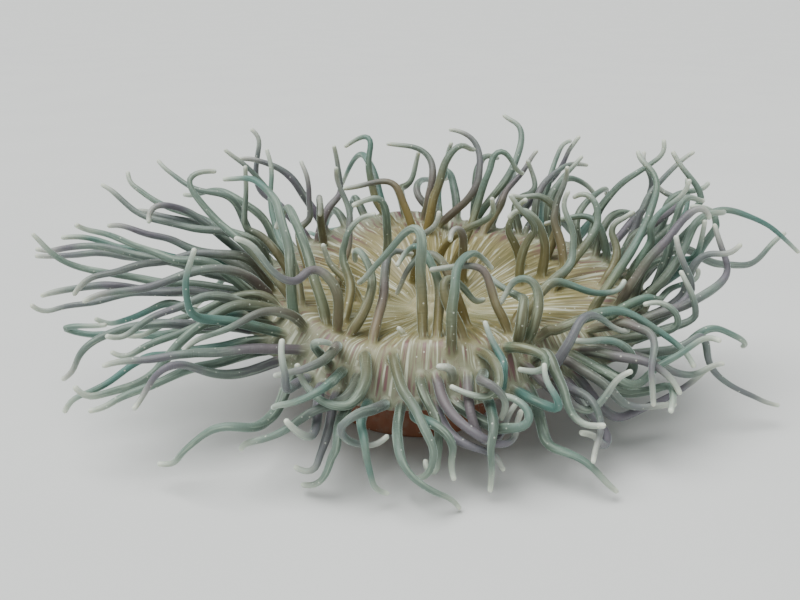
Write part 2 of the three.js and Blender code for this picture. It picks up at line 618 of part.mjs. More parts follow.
// Splits a curve into straight lengths, shorter where it bends more.
function splitCurve(curve) {
  const fine = CURVE_SAMPLES;
  const points = curve.getPoints(fine);
  const turns = [0];
  for (let i = 1; i < fine; i += 1) {
    const before = points[i].clone().sub(points[i - 1]);
    const after = points[i + 1].clone().sub(points[i]);
    turns.push(before.angleTo(after));
  }
  turns.push(0);
  const turn = turns.reduce((sum, angle) => sum + angle, 0);
  const total = curve.getLength();
  const forBends = Math.round(turn / radians(BEND_PER_SEGMENT)) + 2;
  const forLength = Math.ceil(total / LONGEST_SEGMENT);
  const segments = clamp(Math.max(forBends, forLength), LEAST_SEGMENTS, MOST_SEGMENTS);
  const measure = [0];
  for (let i = 1; i <= fine; i += 1) {
    const run = points[i].distanceTo(points[i - 1]) / total;
    measure.push(measure[i - 1] + 0.5 * run + (0.5 * turns[i]) / turn);
  }
  const stations = [points[0]];
  let i = 0;
  for (let k = 1; k <= segments; k += 1) {
    const wanted = (measure[fine] * k) / segments;
    while (i < fine - 1 && measure[i + 1] < wanted) i += 1;
    const share = clamp((wanted - measure[i]) / (measure[i + 1] - measure[i]), 0, 1);
    const station = points[i].clone().lerp(points[i + 1], share);
    const isNear = station.distanceTo(stations[stations.length - 1]) < SHORTEST_SEGMENT;
    if (isNear && k < segments) continue;
    if (isNear) stations.pop();
    stations.push(station);
  }
  return stations;
}

// Radius of a tentacle at a share of its length.
function tentacleRadius(tentacle, share) {
  const radius = mix(TENTACLE_BASE_RADIUS, TENTACLE_TIP_RADIUS, Math.pow(share, TAPER_POWER));
  return radius * tentacle.stoutness;
}

// The nearest points of two straight lengths, as shares along each.
function nearestShares(a0, a1, b0, b1) {
  const u = a1.clone().sub(a0);
  const v = b1.clone().sub(b0);
  const w = a0.clone().sub(b0);
  const a = u.dot(u);
  const b = u.dot(v);
  const c = v.dot(v);
  const d = u.dot(w);
  const e = v.dot(w);
  const denominator = a * c - b * b;
  let s = denominator > TINY * TINY ? clamp((b * e - c * d) / denominator, 0, 1) : 0.5;
  const t = clamp((b * s + e) / c, 0, 1);
  s = clamp((b * t - d) / a, 0, 1);
  return [s, t];
}

// Pushes a point that is too near the disc, the column or the floor back outside. A tentacle
// that grows near the edge may hang beside the disc, and any other stays above it.
function keepOutside(point, radius, mayHang) {
  const need = radius * CORNER_FACTOR + CLEARANCE;
  const { ring, bearing } = discPlace(point);
  if (ring < OVER_DISC) {
    const held = Math.min(ring, 1);
    const normal = discNormal(held, bearing);
    const above = (point.z - discHeight(held, bearing)) * normal.z;
    const isUnder = mayHang && above < -HANGING_DEPTH;
    if (!isUnder && above < need) point.addScaledVector(normal, need - above);
    if (isUnder) {
      const outward = new THREE.Vector3(Math.cos(bearing), Math.sin(bearing), 0);
      point.addScaledVector(outward, (BESIDE_DISC - ring) * edgeRadius(bearing));
    }
  }
  if (point.z < need) point.z = need;
}

// Opens bends that are too sharp for a tentacle's thickness, and lengths pressed too short.
function relax(tentacle) {
  const { stations, rest, radii, free } = tentacle;
  const spread = (k, m, need) => {
    const push = stations[m].clone().sub(stations[k]);
    const lack = need - push.length();
    if (lack <= 0) return;
    push.setLength(lack / 2);
    stations[m].add(push);
    if (k > 0) stations[k].sub(push);
  };
  for (let k = 1; k < stations.length; k += 1) {
    const before = rest[k - 1].length();
    spread(k - 1, k, LEAST_STRETCH * before);
    if (k + 1 === stations.length) break;
    const after = rest[k].length();
    const half = Math.min(before, after) / 2;
    const turn = 2 * Math.atan((BEND_LIMIT * half) / (radii[k] * CORNER_FACTOR));
    spread(k - 1, k + 1, Math.sqrt(before ** 2 + after ** 2 + 2 * before * after * Math.cos(turn)));
  }
  stations[1].subVectors(stations[1], stations[0]);
  stations[1].copy(lifted(stations[1], free)).add(stations[0]);
}

// Eases crossing tentacles apart while each keeps close to its own shape.
function settle(tentacles) {
  const lengths = [];
  tentacles.forEach((tentacle, owner) => {
    const { stations } = tentacle;
    tentacle.free = freeDirection(stations[0]);
    tentacle.rest = stations.slice(1).map((point, k) => point.clone().sub(stations[k]));
    for (let k = 0; k + 1 < stations.length; k += 1) lengths.push({ owner, k });
  });
  const mobility = (k) => (k === 0 ? 0 : 1);
  const plan = SETTLING.flatMap(({ rounds, stiffness }) => Array(rounds).fill(stiffness));
  let pairs = [];
  plan.forEach((stiffness, round) => {
    if (round % ROUNDS_PER_SEARCH === 0) pairs = nearPairs(tentacles, lengths);
    for (const [first, second] of pairs) {
      const a = tentacles[first.owner];
      const b = tentacles[second.owner];
      const [a0, a1] = [a.stations[first.k], a.stations[first.k + 1]];
      const [b0, b1] = [b.stations[second.k], b.stations[second.k + 1]];
      const [s, t] = nearestShares(a0, a1, b0, b1);
      const onA = a0.clone().lerp(a1, s);
      const onB = b0.clone().lerp(b1, t);
      const away = onA.clone().sub(onB);
      const apart = away.length();
      const radiusA = mix(a.radii[first.k], a.radii[first.k + 1], s);
      const radiusB = mix(b.radii[second.k], b.radii[second.k + 1], t);
      const need = (radiusA + radiusB) * CORNER_FACTOR + CLEARANCE;
      if (apart >= need || apart < TINY) continue;
      away.multiplyScalar((0.5 * (need - apart)) / apart);
      a0.addScaledVector(away, (1 - s) * mobility(first.k));
      a1.addScaledVector(away, s * mobility(first.k + 1));
      b0.addScaledVector(away, -(1 - t) * mobility(second.k));
      b1.addScaledVector(away, -t * mobility(second.k + 1));
    }
    for (const tentacle of tentacles) {
      const { stations, rest, radii, mayHang } = tentacle;
      relax(tentacle);
      for (let k = 1; k < stations.length; k += 1) {
        const wanted = stations[k - 1].clone().add(rest[k - 1]);
        stations[k].lerp(wanted, stiffness);
        keepOutside(stations[k], radii[k], mayHang);
        for (const back of k > 1 ? BETWEEN_STATIONS : BESIDE_ROOT) {
          const middle = stations[k].clone().lerp(stations[k - 1], back);
          const before = middle.clone();
          keepOutside(middle, radii[k], mayHang);
          const shift = middle.sub(before);
          stations[k].add(shift);
          if (k > 1) stations[k - 1].add(shift);
        }
      }
    }
  });
}

// Pairs of straight lengths near enough to touch while the tentacles settle.
function nearPairs(tentacles, lengths) {
  const pairs = [];
  const middles = lengths.map(({ owner, k }) => {
    const { stations } = tentacles[owner];
    const centre = stations[k].clone().lerp(stations[k + 1], 0.5);
    return { centre, half: stations[k].distanceTo(stations[k + 1]) / 2 };
  });
  for (let i = 0; i < lengths.length; i += 1) {
    for (let j = i + 1; j < lengths.length; j += 1) {
      const isSame = lengths[i].owner === lengths[j].owner;
      if (isSame && Math.abs(lengths[i].k - lengths[j].k) < 3) continue;
      const limit = middles[i].half + middles[j].half + SEARCH_MARGIN;
      if (middles[i].centre.distanceTo(middles[j].centre) < limit) {
        pairs.push([lengths[i], lengths[j]]);
      }
    }
  }
  return pairs;
}

// ---- sectors of the disc ------------------------------------------------------------------

// A closed surface put together from points and quads.
class Shell {
  constructor() {
    this.points = [];
    this.triangles = [];
  }

  add(point) {
    this.points.push(point);
    return this.points.length - 1;
  }

  quad(a, b, c, d) {
    this.triangles.push(a, b, c, a, c, d);
  }

  // A strip of quads between two closed rows of points.
  band(lower, upper) {
    lower.forEach((low, i) => {
      const next = (i + 1) % lower.length;
      this.quad(low, lower[next], upper[next], upper[i]);
    });
  }

  // An end wall: a row of points above two corners below, the first under the row's last point.
  fan(row, under, corner) {
    for (let i = 0; i + 1 < row.length; i += 1) {
      this.triangles.push(row[i], row[i + 1], corner);
    }
    this.triangles.push(row[row.length - 1], under, corner);
  }

  geometry() {
    const geometry = new THREE.BufferGeometry().setFromPoints(this.points);
    geometry.setIndex(this.triangles);
    geometry.computeVertexNormals();
    return geometry;
  }
}

// The grid of a sector: its points on both faces of the disc, and the cells of its upper face.
function sectorGrid(sectors, index) {
  const { kind, cuts, rings, sideCells } = sectors;
  const from = radians(cuts[index]);
  const to = radians(cuts[index + 1]);
  const points = rings.map((plainRing, i) => {
    const row = [];
    for (let j = 0; j <= sideCells; j += 1) {
      const plainBearing = mix(from, to, j / sideCells);
      const reach = edgeRadius(plainBearing);
      const isOutline = i === rings.length - 1 && kind === 'rim';
      const inward = i === 0 ? 1 : i === rings.length - 1 && !isOutline ? -1 : 0;
      const ring = plainRing + (inward * RING_GAP) / 2 / reach;
      const side = j === 0 ? 1 : j === sideCells ? -1 : 0;
      const bearing = plainBearing + (side * GAP) / 2 / (ring * reach);
      const under = inward < 0 ? ring - UNDERCUT / reach : ring;
      row.push({ top: discLayer(ring, bearing, 0), bottom: discLayer(under, bearing, 1) });
    }
    return row;
  });
  const cells = [];
  for (let i = 0; i + 1 < rings.length; i += 1) {
    for (let j = 0; j < sideCells; j += 1) {
      const corners = [points[i][j], points[i + 1][j], points[i + 1][j + 1], points[i][j + 1]];
      const centre = new THREE.Vector3();
      for (const corner of corners) centre.addScaledVector(corner.top, 1 / corners.length);
      cells.push({ i, j, centre, tentacle: null });
    }
  }
  return { kind, index, points, cells, sideCells };
}

// Builds a sector's walls and faces, and grows each cell's tentacle out of the upper face. The
// hidden underside is one strip from side to side.
function sectorGeometry(grid) {
  const { points, cells, sideCells } = grid;
  const shell = new Shell();
  const rows = points.length - 1;
  const last = sideCells;
  const top = points.map((row) => row.map((point) => shell.add(point.top)));
  const bottom = points.map((row) => [shell.add(row[0].bottom), shell.add(row[last].bottom)]);
  for (const { i, j, tentacle } of cells) {
    const corners = [top[i][j], top[i + 1][j], top[i + 1][j + 1], top[i][j + 1]];
    if (tentacle) growTentacle(shell, corners, tentacle);
    else shell.quad(...corners);
  }
  for (let i = 0; i < rows; i += 1) {
    const [near, far] = [bottom[i], bottom[i + 1]];
    shell.quad(near[0], near[1], far[1], far[0]);
    shell.quad(near[0], far[0], top[i + 1][0], top[i][0]);
    shell.quad(top[i + 1][last], far[1], near[1], top[i][last]);
  }
  shell.fan([...top[0]], bottom[0][1], bottom[0][0]);
  shell.fan([...top[rows]].reverse(), bottom[rows][0], bottom[rows][1]);
  return shell.geometry();
}

// Grows one tentacle from a cell: a square root on the disc, tapering lengths and a blunt tip.
function growTentacle(shell, corners, tentacle) {
  const { stations, radii, cell } = tentacle;
  const rootReach = radii[0] * CORNER_FACTOR * ROOT_FLARE;
  let row = corners.map((index) => {
    const outward = shell.points[index].clone().sub(cell.centre);
    const reach = Math.min(rootReach, ROOT_LIMIT * outward.length());
    return shell.add(cell.centre.clone().addScaledVector(outward.normalize(), reach));
  });
  shell.band(corners, row);
  const right = shell.points[corners[1]].clone().sub(shell.points[corners[0]]).normalize();
  const around = shell.points[corners[3]].clone().sub(shell.points[corners[0]]);
  const ahead = right.clone().cross(around).normalize();
  const turn = new THREE.Quaternion();
  const last = stations.length - 1;
  for (let k = 1; k <= last; k += 1) {
    const front = stations[Math.min(k + 1, last)];
    const next = front.clone().sub(stations[k - 1]).normalize();
    right.applyQuaternion(turn.setFromUnitVectors(ahead, next));
    ahead.copy(next);
    const up = ahead.clone().cross(right);
    const isTip = k === last;
    const reach = radii[k] * CORNER_FACTOR * (isTip ? TIP_BLUNTNESS : 1) * Math.SQRT1_2;
    const centre = stations[k].clone();
    if (isTip) centre.addScaledVector(ahead, -radii[k]);
    const signs = [[-1, -1], [1, -1], [1, 1], [-1, 1]];
    const section = signs.map(([a, b]) => {
      const corner = centre.clone().addScaledVector(right, a * reach);
      return shell.add(corner.addScaledVector(up, b * reach));
    });
    shell.band(row, section);
    row = section;
  }
  const apex = shell.add(stations[last]);
  row.forEach((corner, i) => shell.triangles.push(corner, row[(i + 1) % row.length], apex));
}

// ---- assembly -----------------------------------------------------------------------------

const FINISHES = {
  foot: { color: 0xb5694a, roughness: 0.7 },
  column: { color: 0xa9825f, roughness: 0.65 },
  collar: { color: 0x8b7f8a, roughness: 0.6 },
  disc: { color: 0xcbb79a, roughness: 0.5 },
  lips: { color: 0xd9c3a6, roughness: 0.5 },
  tentacle: { color: 0x9aa99f, roughness: 0.45 },
};

function addNode(group, name, geometry, finish) {
  const position = geometry.attributes.position;
  position.array.forEach((value, i) => {
    position.array[i] = Math.round(value / GRID) * GRID;
  });
  const material = new THREE.MeshStandardMaterial({ ...FINISHES[finish], metalness: 0 });
  const mesh = new THREE.Mesh(geometry, material);
  mesh.name = name;
  group.add(mesh);
}

// Seats, curves and settles the tentacles on the cells of all the sectors.
function poseTentacles(grids) {
  const tentacles = gatherTentacles();
  seatRoots(tentacles, grids.flatMap((grid) => grid.cells));
  for (const tentacle of tentacles) {
    tentacle.stations = splitCurve(tentacleCurve(tentacle));
    const last = tentacle.stations.length - 1;
    tentacle.radii = tentacle.stations.map((_, k) => tentacleRadius(tentacle, k / last));
    tentacle.mayHang = discPlace(tentacle.cell.centre).ring > HANGING_RING;
  }
  settle(tentacles);
}

const anemone = new THREE.Group();
addNode(anemone, 'foot', columnSlice(0, 0.25), 'foot');
addNode(anemone, 'column', columnSlice(0.25, 0.5), 'column');
addNode(anemone, 'collar', columnCollar(0.5), 'collar');
addNode(anemone, 'oral_disc', discMiddle(), 'disc');
addNode(anemone, 'lips', lips(), 'lips');

const grids = [];
for (const sectors of [DISC_SECTORS, RIM_SECTORS]) {
  for (let i = 0; i + 1 < sectors.cuts.length; i += 1) grids.push(sectorGrid(sectors, i));
}
poseTentacles(grids);
for (const grid of grids) {
  const number = String(grid.index + 1).padStart(2, '0');
  addNode(anemone, `${grid.kind}_sector_${number}`, sectorGeometry(grid), 'tentacle');
}

export default anemone;
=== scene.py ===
"""A living long-tentacle sand anemone, open on a pale floor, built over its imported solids."""
import logging
import math
from dataclasses import dataclass, field
from enum import Enum

import bmesh
import bpy
import numpy as np
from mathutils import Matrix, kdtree


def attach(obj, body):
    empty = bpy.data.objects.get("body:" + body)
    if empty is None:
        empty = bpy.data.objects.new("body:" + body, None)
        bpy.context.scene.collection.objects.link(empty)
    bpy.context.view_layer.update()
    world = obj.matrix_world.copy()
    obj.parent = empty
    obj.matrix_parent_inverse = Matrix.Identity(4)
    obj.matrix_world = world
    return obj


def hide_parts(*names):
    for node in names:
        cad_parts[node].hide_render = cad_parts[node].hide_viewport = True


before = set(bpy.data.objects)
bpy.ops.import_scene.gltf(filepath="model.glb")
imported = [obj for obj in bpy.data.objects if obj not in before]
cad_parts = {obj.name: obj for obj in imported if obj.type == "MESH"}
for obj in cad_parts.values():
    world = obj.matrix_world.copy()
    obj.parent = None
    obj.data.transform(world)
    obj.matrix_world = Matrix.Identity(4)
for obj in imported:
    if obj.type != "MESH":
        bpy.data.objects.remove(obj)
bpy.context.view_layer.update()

LOG = logging.getLogger("anemone")
MM = 0.001
SEED = 11
BODY = "root"
TURN = 2 * math.pi
UP = np.array([0.0, 0.0, 1.0])
BACK = np.array([0.0, 1.0, 0.0])
FAR = 1e3  # Millimetres: further than anything on the animal.
TINY = 1e-9


# ---- small sums -------------------------------------------------------------------------------


def mix(low: float, high: float, share: float) -> float:
    """Blends two numbers or arrays by a share."""
    return low + (high - low) * share


def smooth(low: float, high: float, value: np.ndarray) -> np.ndarray:
    """Rises softly from 0 to 1 while the value goes from low to high."""
    share = np.clip((np.asarray(value, dtype=float) - low) / (high - low), 0.0, 1.0)
    return share * share * (3 - 2 * share)


def unit(vectors: np.ndarray) -> np.ndarray:
    """Scales vectors, along the last axis, to length 1."""
    length = np.linalg.norm(vectors, axis=-1, keepdims=True)
    return vectors / np.maximum(length, TINY)


def running(steps: np.ndarray) -> np.ndarray:
    """Adds steps up as they go, from 0 before the first."""
    return np.concatenate([[0.0], np.cumsum(steps)])


def path_lengths(points: np.ndarray) -> np.ndarray:
    """Distance from the first point to each point of a path."""
    return running(np.linalg.norm(np.diff(points, axis=0), axis=1))


def resample(points: np.ndarray, count: int) -> np.ndarray:
    """Places points evenly along a path.

    Args:
        points: The path's points.
        count: How many points to place, with one at each end.

    Returns:
        The points placed.
    """
    lengths = path_lengths(points)
    wanted = np.linspace(0.0, lengths[-1], count)
    return np.stack([np.interp(wanted, lengths, points[:, k]) for k in range(3)], axis=1)


def soften(rows: np.ndarray, rounds: int) -> np.ndarray:
    """Averages each row with the rows beside it, and leaves the first and the last.

    Args:
        rows: An array of rows.
        rounds: How many times to do it.

    Returns:
        The softened rows.
    """
    for _ in range(rounds):
        rows = np.concatenate([rows[:1], (rows[:-2] + 2 * rows[1:-1] + rows[2:]) / 4, rows[-1:]])
    return rows


def smooth_curve(points: np.ndarray, per_span: int = 14) -> np.ndarray:
    """Passes a centripetal Catmull-Rom curve through points.

    Args:
        points: The stations, with one extra point before the first and one after the last.
        per_span: Points drawn on each span.

    Returns:
        The points of the curve, from the second station to the last but one.
    """
    found = []
    for k in range(1, len(points) - 2):
        p0, p1, p2, p3 = points[k - 1:k + 3]
        t1 = np.linalg.norm(p1 - p0) ** 0.5
        t2 = t1 + np.linalg.norm(p2 - p1) ** 0.5
        t3 = t2 + np.linalg.norm(p3 - p2) ** 0.5
        t = np.linspace(t1, t2, per_span, endpoint=False)[:, None]
        a1 = mix(p0, p1, t / t1)
        a2 = mix(p1, p2, (t - t1) / (t2 - t1))
        a3 = mix(p2, p3, (t - t2) / (t3 - t2))
        b1 = mix(a1, a2, t / t2)
        b2 = mix(a2, a3, (t - t1) / (t3 - t1))
        found.append(mix(b1, b2, (t - t1) / (t2 - t1)))
    return np.concatenate(found + [points[-2][None, :]])


# ---- the body's own shape ---------------------------------------------------------------------


@dataclass(frozen=True)
class Wave:
    """A wave that runs round the body: its height, how many to a turn, and where it starts."""

    size: float
    count: int
    start: float = 0.0

    def at(self, bearing: np.ndarray, shift: np.ndarray | float = 0.0) -> np.ndarray:
        """The wave's height on a bearing, moved round by a shift."""
        return self.size * np.sin(self.count * bearing + self.start + shift)


@dataclass(frozen=True)
class BodyShape:
    """Sizes of the disc, the mouth and the column, as the solids have them.

    Lengths are in millimetres and bearings in radians. A ring is a share of the way from the
    disc's centre to its edge, and a level is a height above the floor.
    """

    centre_x: float = 16.0
    centre_y: float = 6.0
    half_width: float = 132.0
    half_depth: float = 101.0
    outline: tuple[Wave, Wave] = (Wave(4, 3, 0.7), Wave(2.5, 5, 2))
    mouth_level: float = 62.0
    fold_ring: float = 0.8
    fold_level: float = 75.0
    fold_wave: Wave = Wave(3, 4, 0.4)
    back_tilt: float = 20.0
    front_tilt: float = 3.0
    edge_level: float = 68.0
    edge_tilt: float = 32.0
    edge_wave: Wave = Wave(5, 4, 0.4)
    ripple: Wave = Wave(2.5, 7, 1)
    thickness: float = 9.0
    edge_thickness: float = 6.5
    inner_ring: float = 0.6
    collar_ring: float = 0.78
    mouth_ring: float = 0.24
    lip_half_length: float = 15.0
    lip_half_width: float = 7.5
    foot_radius: float = 54.0
    foot_height: float = 7.0
    foot_taper: float = 0.99
    waist_radius: float = 47.0
    waist_height: float = 22.0
    wall_waves: tuple[Wave, Wave] = (Wave(0.03, 3), Wave(0.02, 5, 1))
    shoulder_reach: float = 0.45
    shoulder_rise: float = 0.62
    under_gap: float = 2.4
    slope_step: float = 0.01

    def reach(self, bearing: np.ndarray) -> np.ndarray:
        """Distance from the disc's centre to its edge on a bearing."""
        oval = 1 / np.hypot(np.cos(bearing) / self.half_width, np.sin(bearing) / self.half_depth)
        return oval + self.outline[0].at(bearing) + self.outline[1].at(bearing)

    def height(self, ring: np.ndarray, bearing: np.ndarray) -> np.ndarray:
        """Height of the disc's upper face: a shallow dish that rolls over into a waved edge.

        Args:
            ring: Rings of the places wanted.
            bearing: Bearings of the places wanted.

        Returns:
            The height at each place.
        """
        back = np.sin(bearing)
        ripple = self.ripple.at(bearing)
        tilt = np.where(back > 0, self.back_tilt, self.front_tilt) * back
        fold = self.fold_level + tilt + self.fold_wave.at(bearing)
        edge = self.edge_level + self.edge_tilt * back + self.edge_wave.at(bearing)
        q = np.clip(ring / self.fold_ring, 0, 1)
        dish = self.mouth_level + (fold - self.mouth_level) * q * q * (3 - 2 * q) + ripple * q * q
        q = np.clip((ring - self.fold_ring) / (1 - self.fold_ring), 0, None)
        roll = fold + (edge - fold) * q * q * (2 - q) + ripple * (1 - q)
        return np.where(ring < self.fold_ring, dish, roll)

    def point(self, ring: np.ndarray, bearing: np.ndarray) -> np.ndarray:
        """Points on the disc's upper face.

        Args:
            ring: Rings of the points.
            bearing: Bearings of the points.

        Returns:
            The points.
        """
        reach = self.reach(bearing) * ring
        x = self.centre_x + reach * np.cos(bearing)
        y = self.centre_y + reach * np.sin(bearing)
        return np.stack([x, y, self.height(ring, bearing)], axis=-1)

    def place(self, points: np.ndarray) -> tuple[np.ndarray, np.ndarray]:
        """Finds where on the disc some points lie, seen from above.

        Args:
            points: The points.

        Returns:
            Their rings and their bearings.
        """
        dx = points[..., 0] - self.centre_x
        dy = points[..., 1] - self.centre_y
        bearing = np.arctan2(dy, dx)
        return np.hypot(dx, dy) / self.reach(bearing), bearing

    def normal(self, ring: np.ndarray, bearing: np.ndarray) -> np.ndarray:
        """Upward directions square to the disc's upper face.

        Args:
            ring: Rings of the places wanted.
            bearing: Bearings of the places wanted.

        Returns:
            A direction of length 1 for each place.
        """
        step = self.slope_step
        outward = self.point(ring + step, bearing) - self.point(ring - step, bearing)
        around = self.point(ring, bearing + step) - self.point(ring, bearing - step)
        return unit(np.cross(outward, around))

    def layer(self, ring: np.ndarray, bearing: np.ndarray, depth: float) -> np.ndarray:
        """Points inside or under the disc.

        Args:
            ring: Rings of the points.
            bearing: Bearings of the points.
            depth: How deep they lie, as a share of the disc's thickness.

        Returns:
            The points.
        """
        thick = mix(self.thickness, self.edge_thickness, ring)
        share = np.clip((ring - self.inner_ring) / (self.fold_ring - self.inner_ring), 0, 1)
        up = unit(mix(UP, self.normal(ring, bearing), share[..., None]))
        return self.point(ring, bearing) - up * (depth * thick)[..., None]

    def wall(self, bearing: np.ndarray) -> list[np.ndarray]:
        """Corners of the column's outline, from under the disc down to the floor.

        Args:
            bearing: The bearings on which the outline is wanted.

        Returns:
            For each corner, its point on each bearing.
        """
        wobble = 1 + self.wall_waves[0].at(bearing) + self.wall_waves[1].at(bearing)
        heading = np.stack([np.cos(bearing), np.sin(bearing), 0 * bearing], axis=-1)
        ring = np.full_like(bearing, self.collar_ring)
        under = self.layer(ring, bearing, 1.0) - self.normal(ring, bearing) * self.under_gap
        waist = heading * (self.waist_radius * wobble)[:, None] + UP * self.waist_height
        shoulder = mix(waist, under, self.shoulder_reach)
        shoulder[:, 2] = mix(self.waist_height, under[:, 2], self.shoulder_rise)
        foot = heading * (self.foot_radius * wobble)[:, None]
        return [under, shoulder, waist, foot * self.foot_taper + UP * self.foot_height, foot]


# ---- the mesh book ----------------------------------------------------------------------------


class MeshBook:
    """Collects the skin's points, faces, bake places and what each point knows about itself."""

    # What a point knows, with the value that it has unless it is told another. The distances
    # along a tentacle and from its tip are in millimetres, and the rest are shares.
    NUMBERS = {"along": 0.0, "tip": 200.0, "tone": 0.5, "gold": 0.0, "disc": 1.0, "column": 0.0,
               "calm": 0.0, "ring": 0.0, "low": 0.0, "wart": 0.0}

    def __init__(self) -> None:
        """Starts an empty book."""
        self.points: list[np.ndarray] = []
        self.numbers: dict[str, list[np.ndarray]] = {name: [] for name in self.NUMBERS}
        self.streaks: list[np.ndarray] = []
        self.faces: list[tuple[int, ...]] = []
        self.places: list[tuple[float, float]] = []
        self.count = 0

    def add_points(self, points: np.ndarray, streaks: np.ndarray, **numbers: np.ndarray) -> int:
        """Adds points with what they know.

        Args:
            points: Positions in millimetres.
            streaks: The place of each point in the space that streaks are drawn in.
            **numbers: A value, or one for each point, for the numbers that aren't as usual.

        Returns:
            The index of the first point added.
        """
        first = self.count
        self.points.append(points.reshape(-1, 3))
        self.streaks.append(streaks.reshape(-1, 3))
        size = len(self.points[-1])
        for name, usual in self.NUMBERS.items():
            value = np.asarray(numbers.get(name, usual), float).ravel()
            self.numbers[name].append(np.broadcast_to(value, (size,)))
        self.count += size
        return first

    def add_face(self, corners: list[int], places: list[tuple[float, float]]) -> None:
        """Adds a face and the bake place of each of its corners."""
        self.faces.append(tuple(int(corner) for corner in corners))
        self.places.extend(places)

    def build(self, name: str) -> bpy.types.Object:
        """Makes the mesh object, without the points that no face uses.

        Args:
            name: The object's name.

        Returns:
            The object, in metres.
        """
        corners = np.array([corner for face in self.faces for corner in face], dtype=np.int64)
        used, packed = np.unique(corners, return_inverse=True)
        packed = packed.reshape(-1).tolist()
        cuts = running([len(face) for face in self.faces]).astype(int)
        faces = [tuple(packed[a:b]) for a, b in zip(cuts[:-1], cuts[1:])]
        mesh = bpy.data.meshes.new(name)
        mesh.from_pydata((np.concatenate(self.points)[used] * MM).tolist(), [], faces)
        known = [(key, "FLOAT", "value", blocks) for key, blocks in self.numbers.items()]
        for key, kind, slot, blocks in known + [("streak", "FLOAT_VECTOR", "vector", self.streaks)]:
            layer = mesh.attributes.new(key, kind, "POINT")
            layer.data.foreach_set(slot, np.concatenate(blocks)[used].astype(np.float32).ravel())
        bake = mesh.uv_layers.new(name="OFBake")
        bake.data.foreach_set("uv", np.array(self.places, dtype=np.float32).ravel())
        mesh.polygons.foreach_set("use_smooth", np.ones(len(mesh.polygons), dtype=bool))
        mesh.update()
        thing = bpy.data.objects.new(name, mesh)
        bpy.context.collection.objects.link(thing)
        return thing


# ---- tentacles --------------------------------------------------------------------------------


@dataclass
class Tentacle:
    """One tentacle: its stations in millimetres from root to tip, and how stout it is."""

    stations: np.ndarray
    radii: np.ndarray
    ring: float = 0.0
    bearing: float = 0.0
    line: np.ndarray = field(default_factory=lambda: np.zeros((0, 3)))
    girth: np.ndarray = field(default_factory=lambda: np.zeros(0))
    root_radius: float = 0.0
    hole: float = 0.0

    def normal(self, shape: BodyShape) -> np.ndarray:
        """The direction square to the disc at its root."""
        return shape.normal(np.array(self.ring), np.array(self.bearing))


@dataclass
class TentacleReader:
    """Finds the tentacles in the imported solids, where each is a run of four-cornered rings."""

    ring_corners: int = 4
    corner_factor: float = 1.2533  # A square ring's corners against the round tube it stands for.
    tip_bluntness: float = 0.8
    fewest_layers: int = 4
    weld_steps: int = 1000  # Steps to a millimetre within which points are one.

    def read(self, node: bpy.types.Object) -> list[Tentacle]:
        """Reads the tentacles of one node.

        Args:
            node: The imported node's object.

        Returns:
            A tentacle for each chain of rings that ends in an apex.
        """
        points, triangles = self.welded(node)
        near: list[set[int]] = [set() for _ in points]
        touching = np.bincount(triangles.ravel(), minlength=len(points))
        for corners in triangles.tolist():
            for corner in corners:
                near[corner].update(set(corners) - {corner})
        found = []
        taken: set[int] = set()
        for apex, around in enumerate(near):
            if not touching[apex] == len(around) == self.ring_corners or apex in taken:
                continue
            layers, seen = self.climb(apex, near)
            if len(layers) >= self.fewest_layers:
                taken |= seen
                found.append(self.measure(points, layers))
        return found

    def welded(self, node: bpy.types.Object) -> tuple[np.ndarray, np.ndarray]:
        """Merges the doubled points of a node.

        Args:
            node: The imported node's object.

        Returns:
            Its points in millimetres, and the three points of each of its triangles.
        """
        mesh = node.data
        flat = np.empty(len(mesh.vertices) * 3)
        mesh.vertices.foreach_get("co", flat)
        points = flat.reshape(-1, 3) / MM
        keys = np.round(points * self.weld_steps).astype(np.int64)
        _, first, index = np.unique(keys, axis=0, return_index=True, return_inverse=True)
        mesh.calc_loop_triangles()
        corners = np.empty(len(mesh.loop_triangles) * 3, dtype=np.int32)
        mesh.loop_triangles.foreach_get("vertices", corners)
        return points[first], index.reshape(-1)[corners.reshape(-1, 3)]

    def climb(self, apex: int, near: list[set[int]]) -> tuple[list[list[int]], set[int]]:
        """Walks from an apex down its rings for as long as each has four corners.

        Args:
            apex: The point at the tip.
            near: The neighbours of each point.

        Returns:
            The layers of points from the apex down, and all their points together.
        """
        layers, seen = [[apex]], {apex}
        while True:
            below = set().union(*(near[k] for k in layers[-1])) - seen
            if len(below) != self.ring_corners:
                return layers, seen
            layers.append(sorted(below))
            seen |= below

    def measure(self, points: np.ndarray, layers: list[list[int]]) -> Tentacle:
        """Turns layers into a tentacle.

        Args:
            points: The node's points.
            layers: The layers of points, apex first and root cell last.

        Returns:
            The tentacle, with its stations and radii.
        """
        rings = [points[layer] for layer in layers[1:-1]]
        centres = [ring.mean(axis=0) for ring in rings]
        reaches = [np.linalg.norm(r - c, axis=1).mean() for r, c in zip(rings, centres)]
        radii = [reach / self.corner_factor for reach in reaches]
        radii[0] = radii[0] / self.tip_bluntness
        radii[-1] = radii[-2]
        stations = np.array([points[layers[0][0]]] + centres[1:])[::-1]
        return Tentacle(stations=stations, radii=np.array(radii)[::-1])


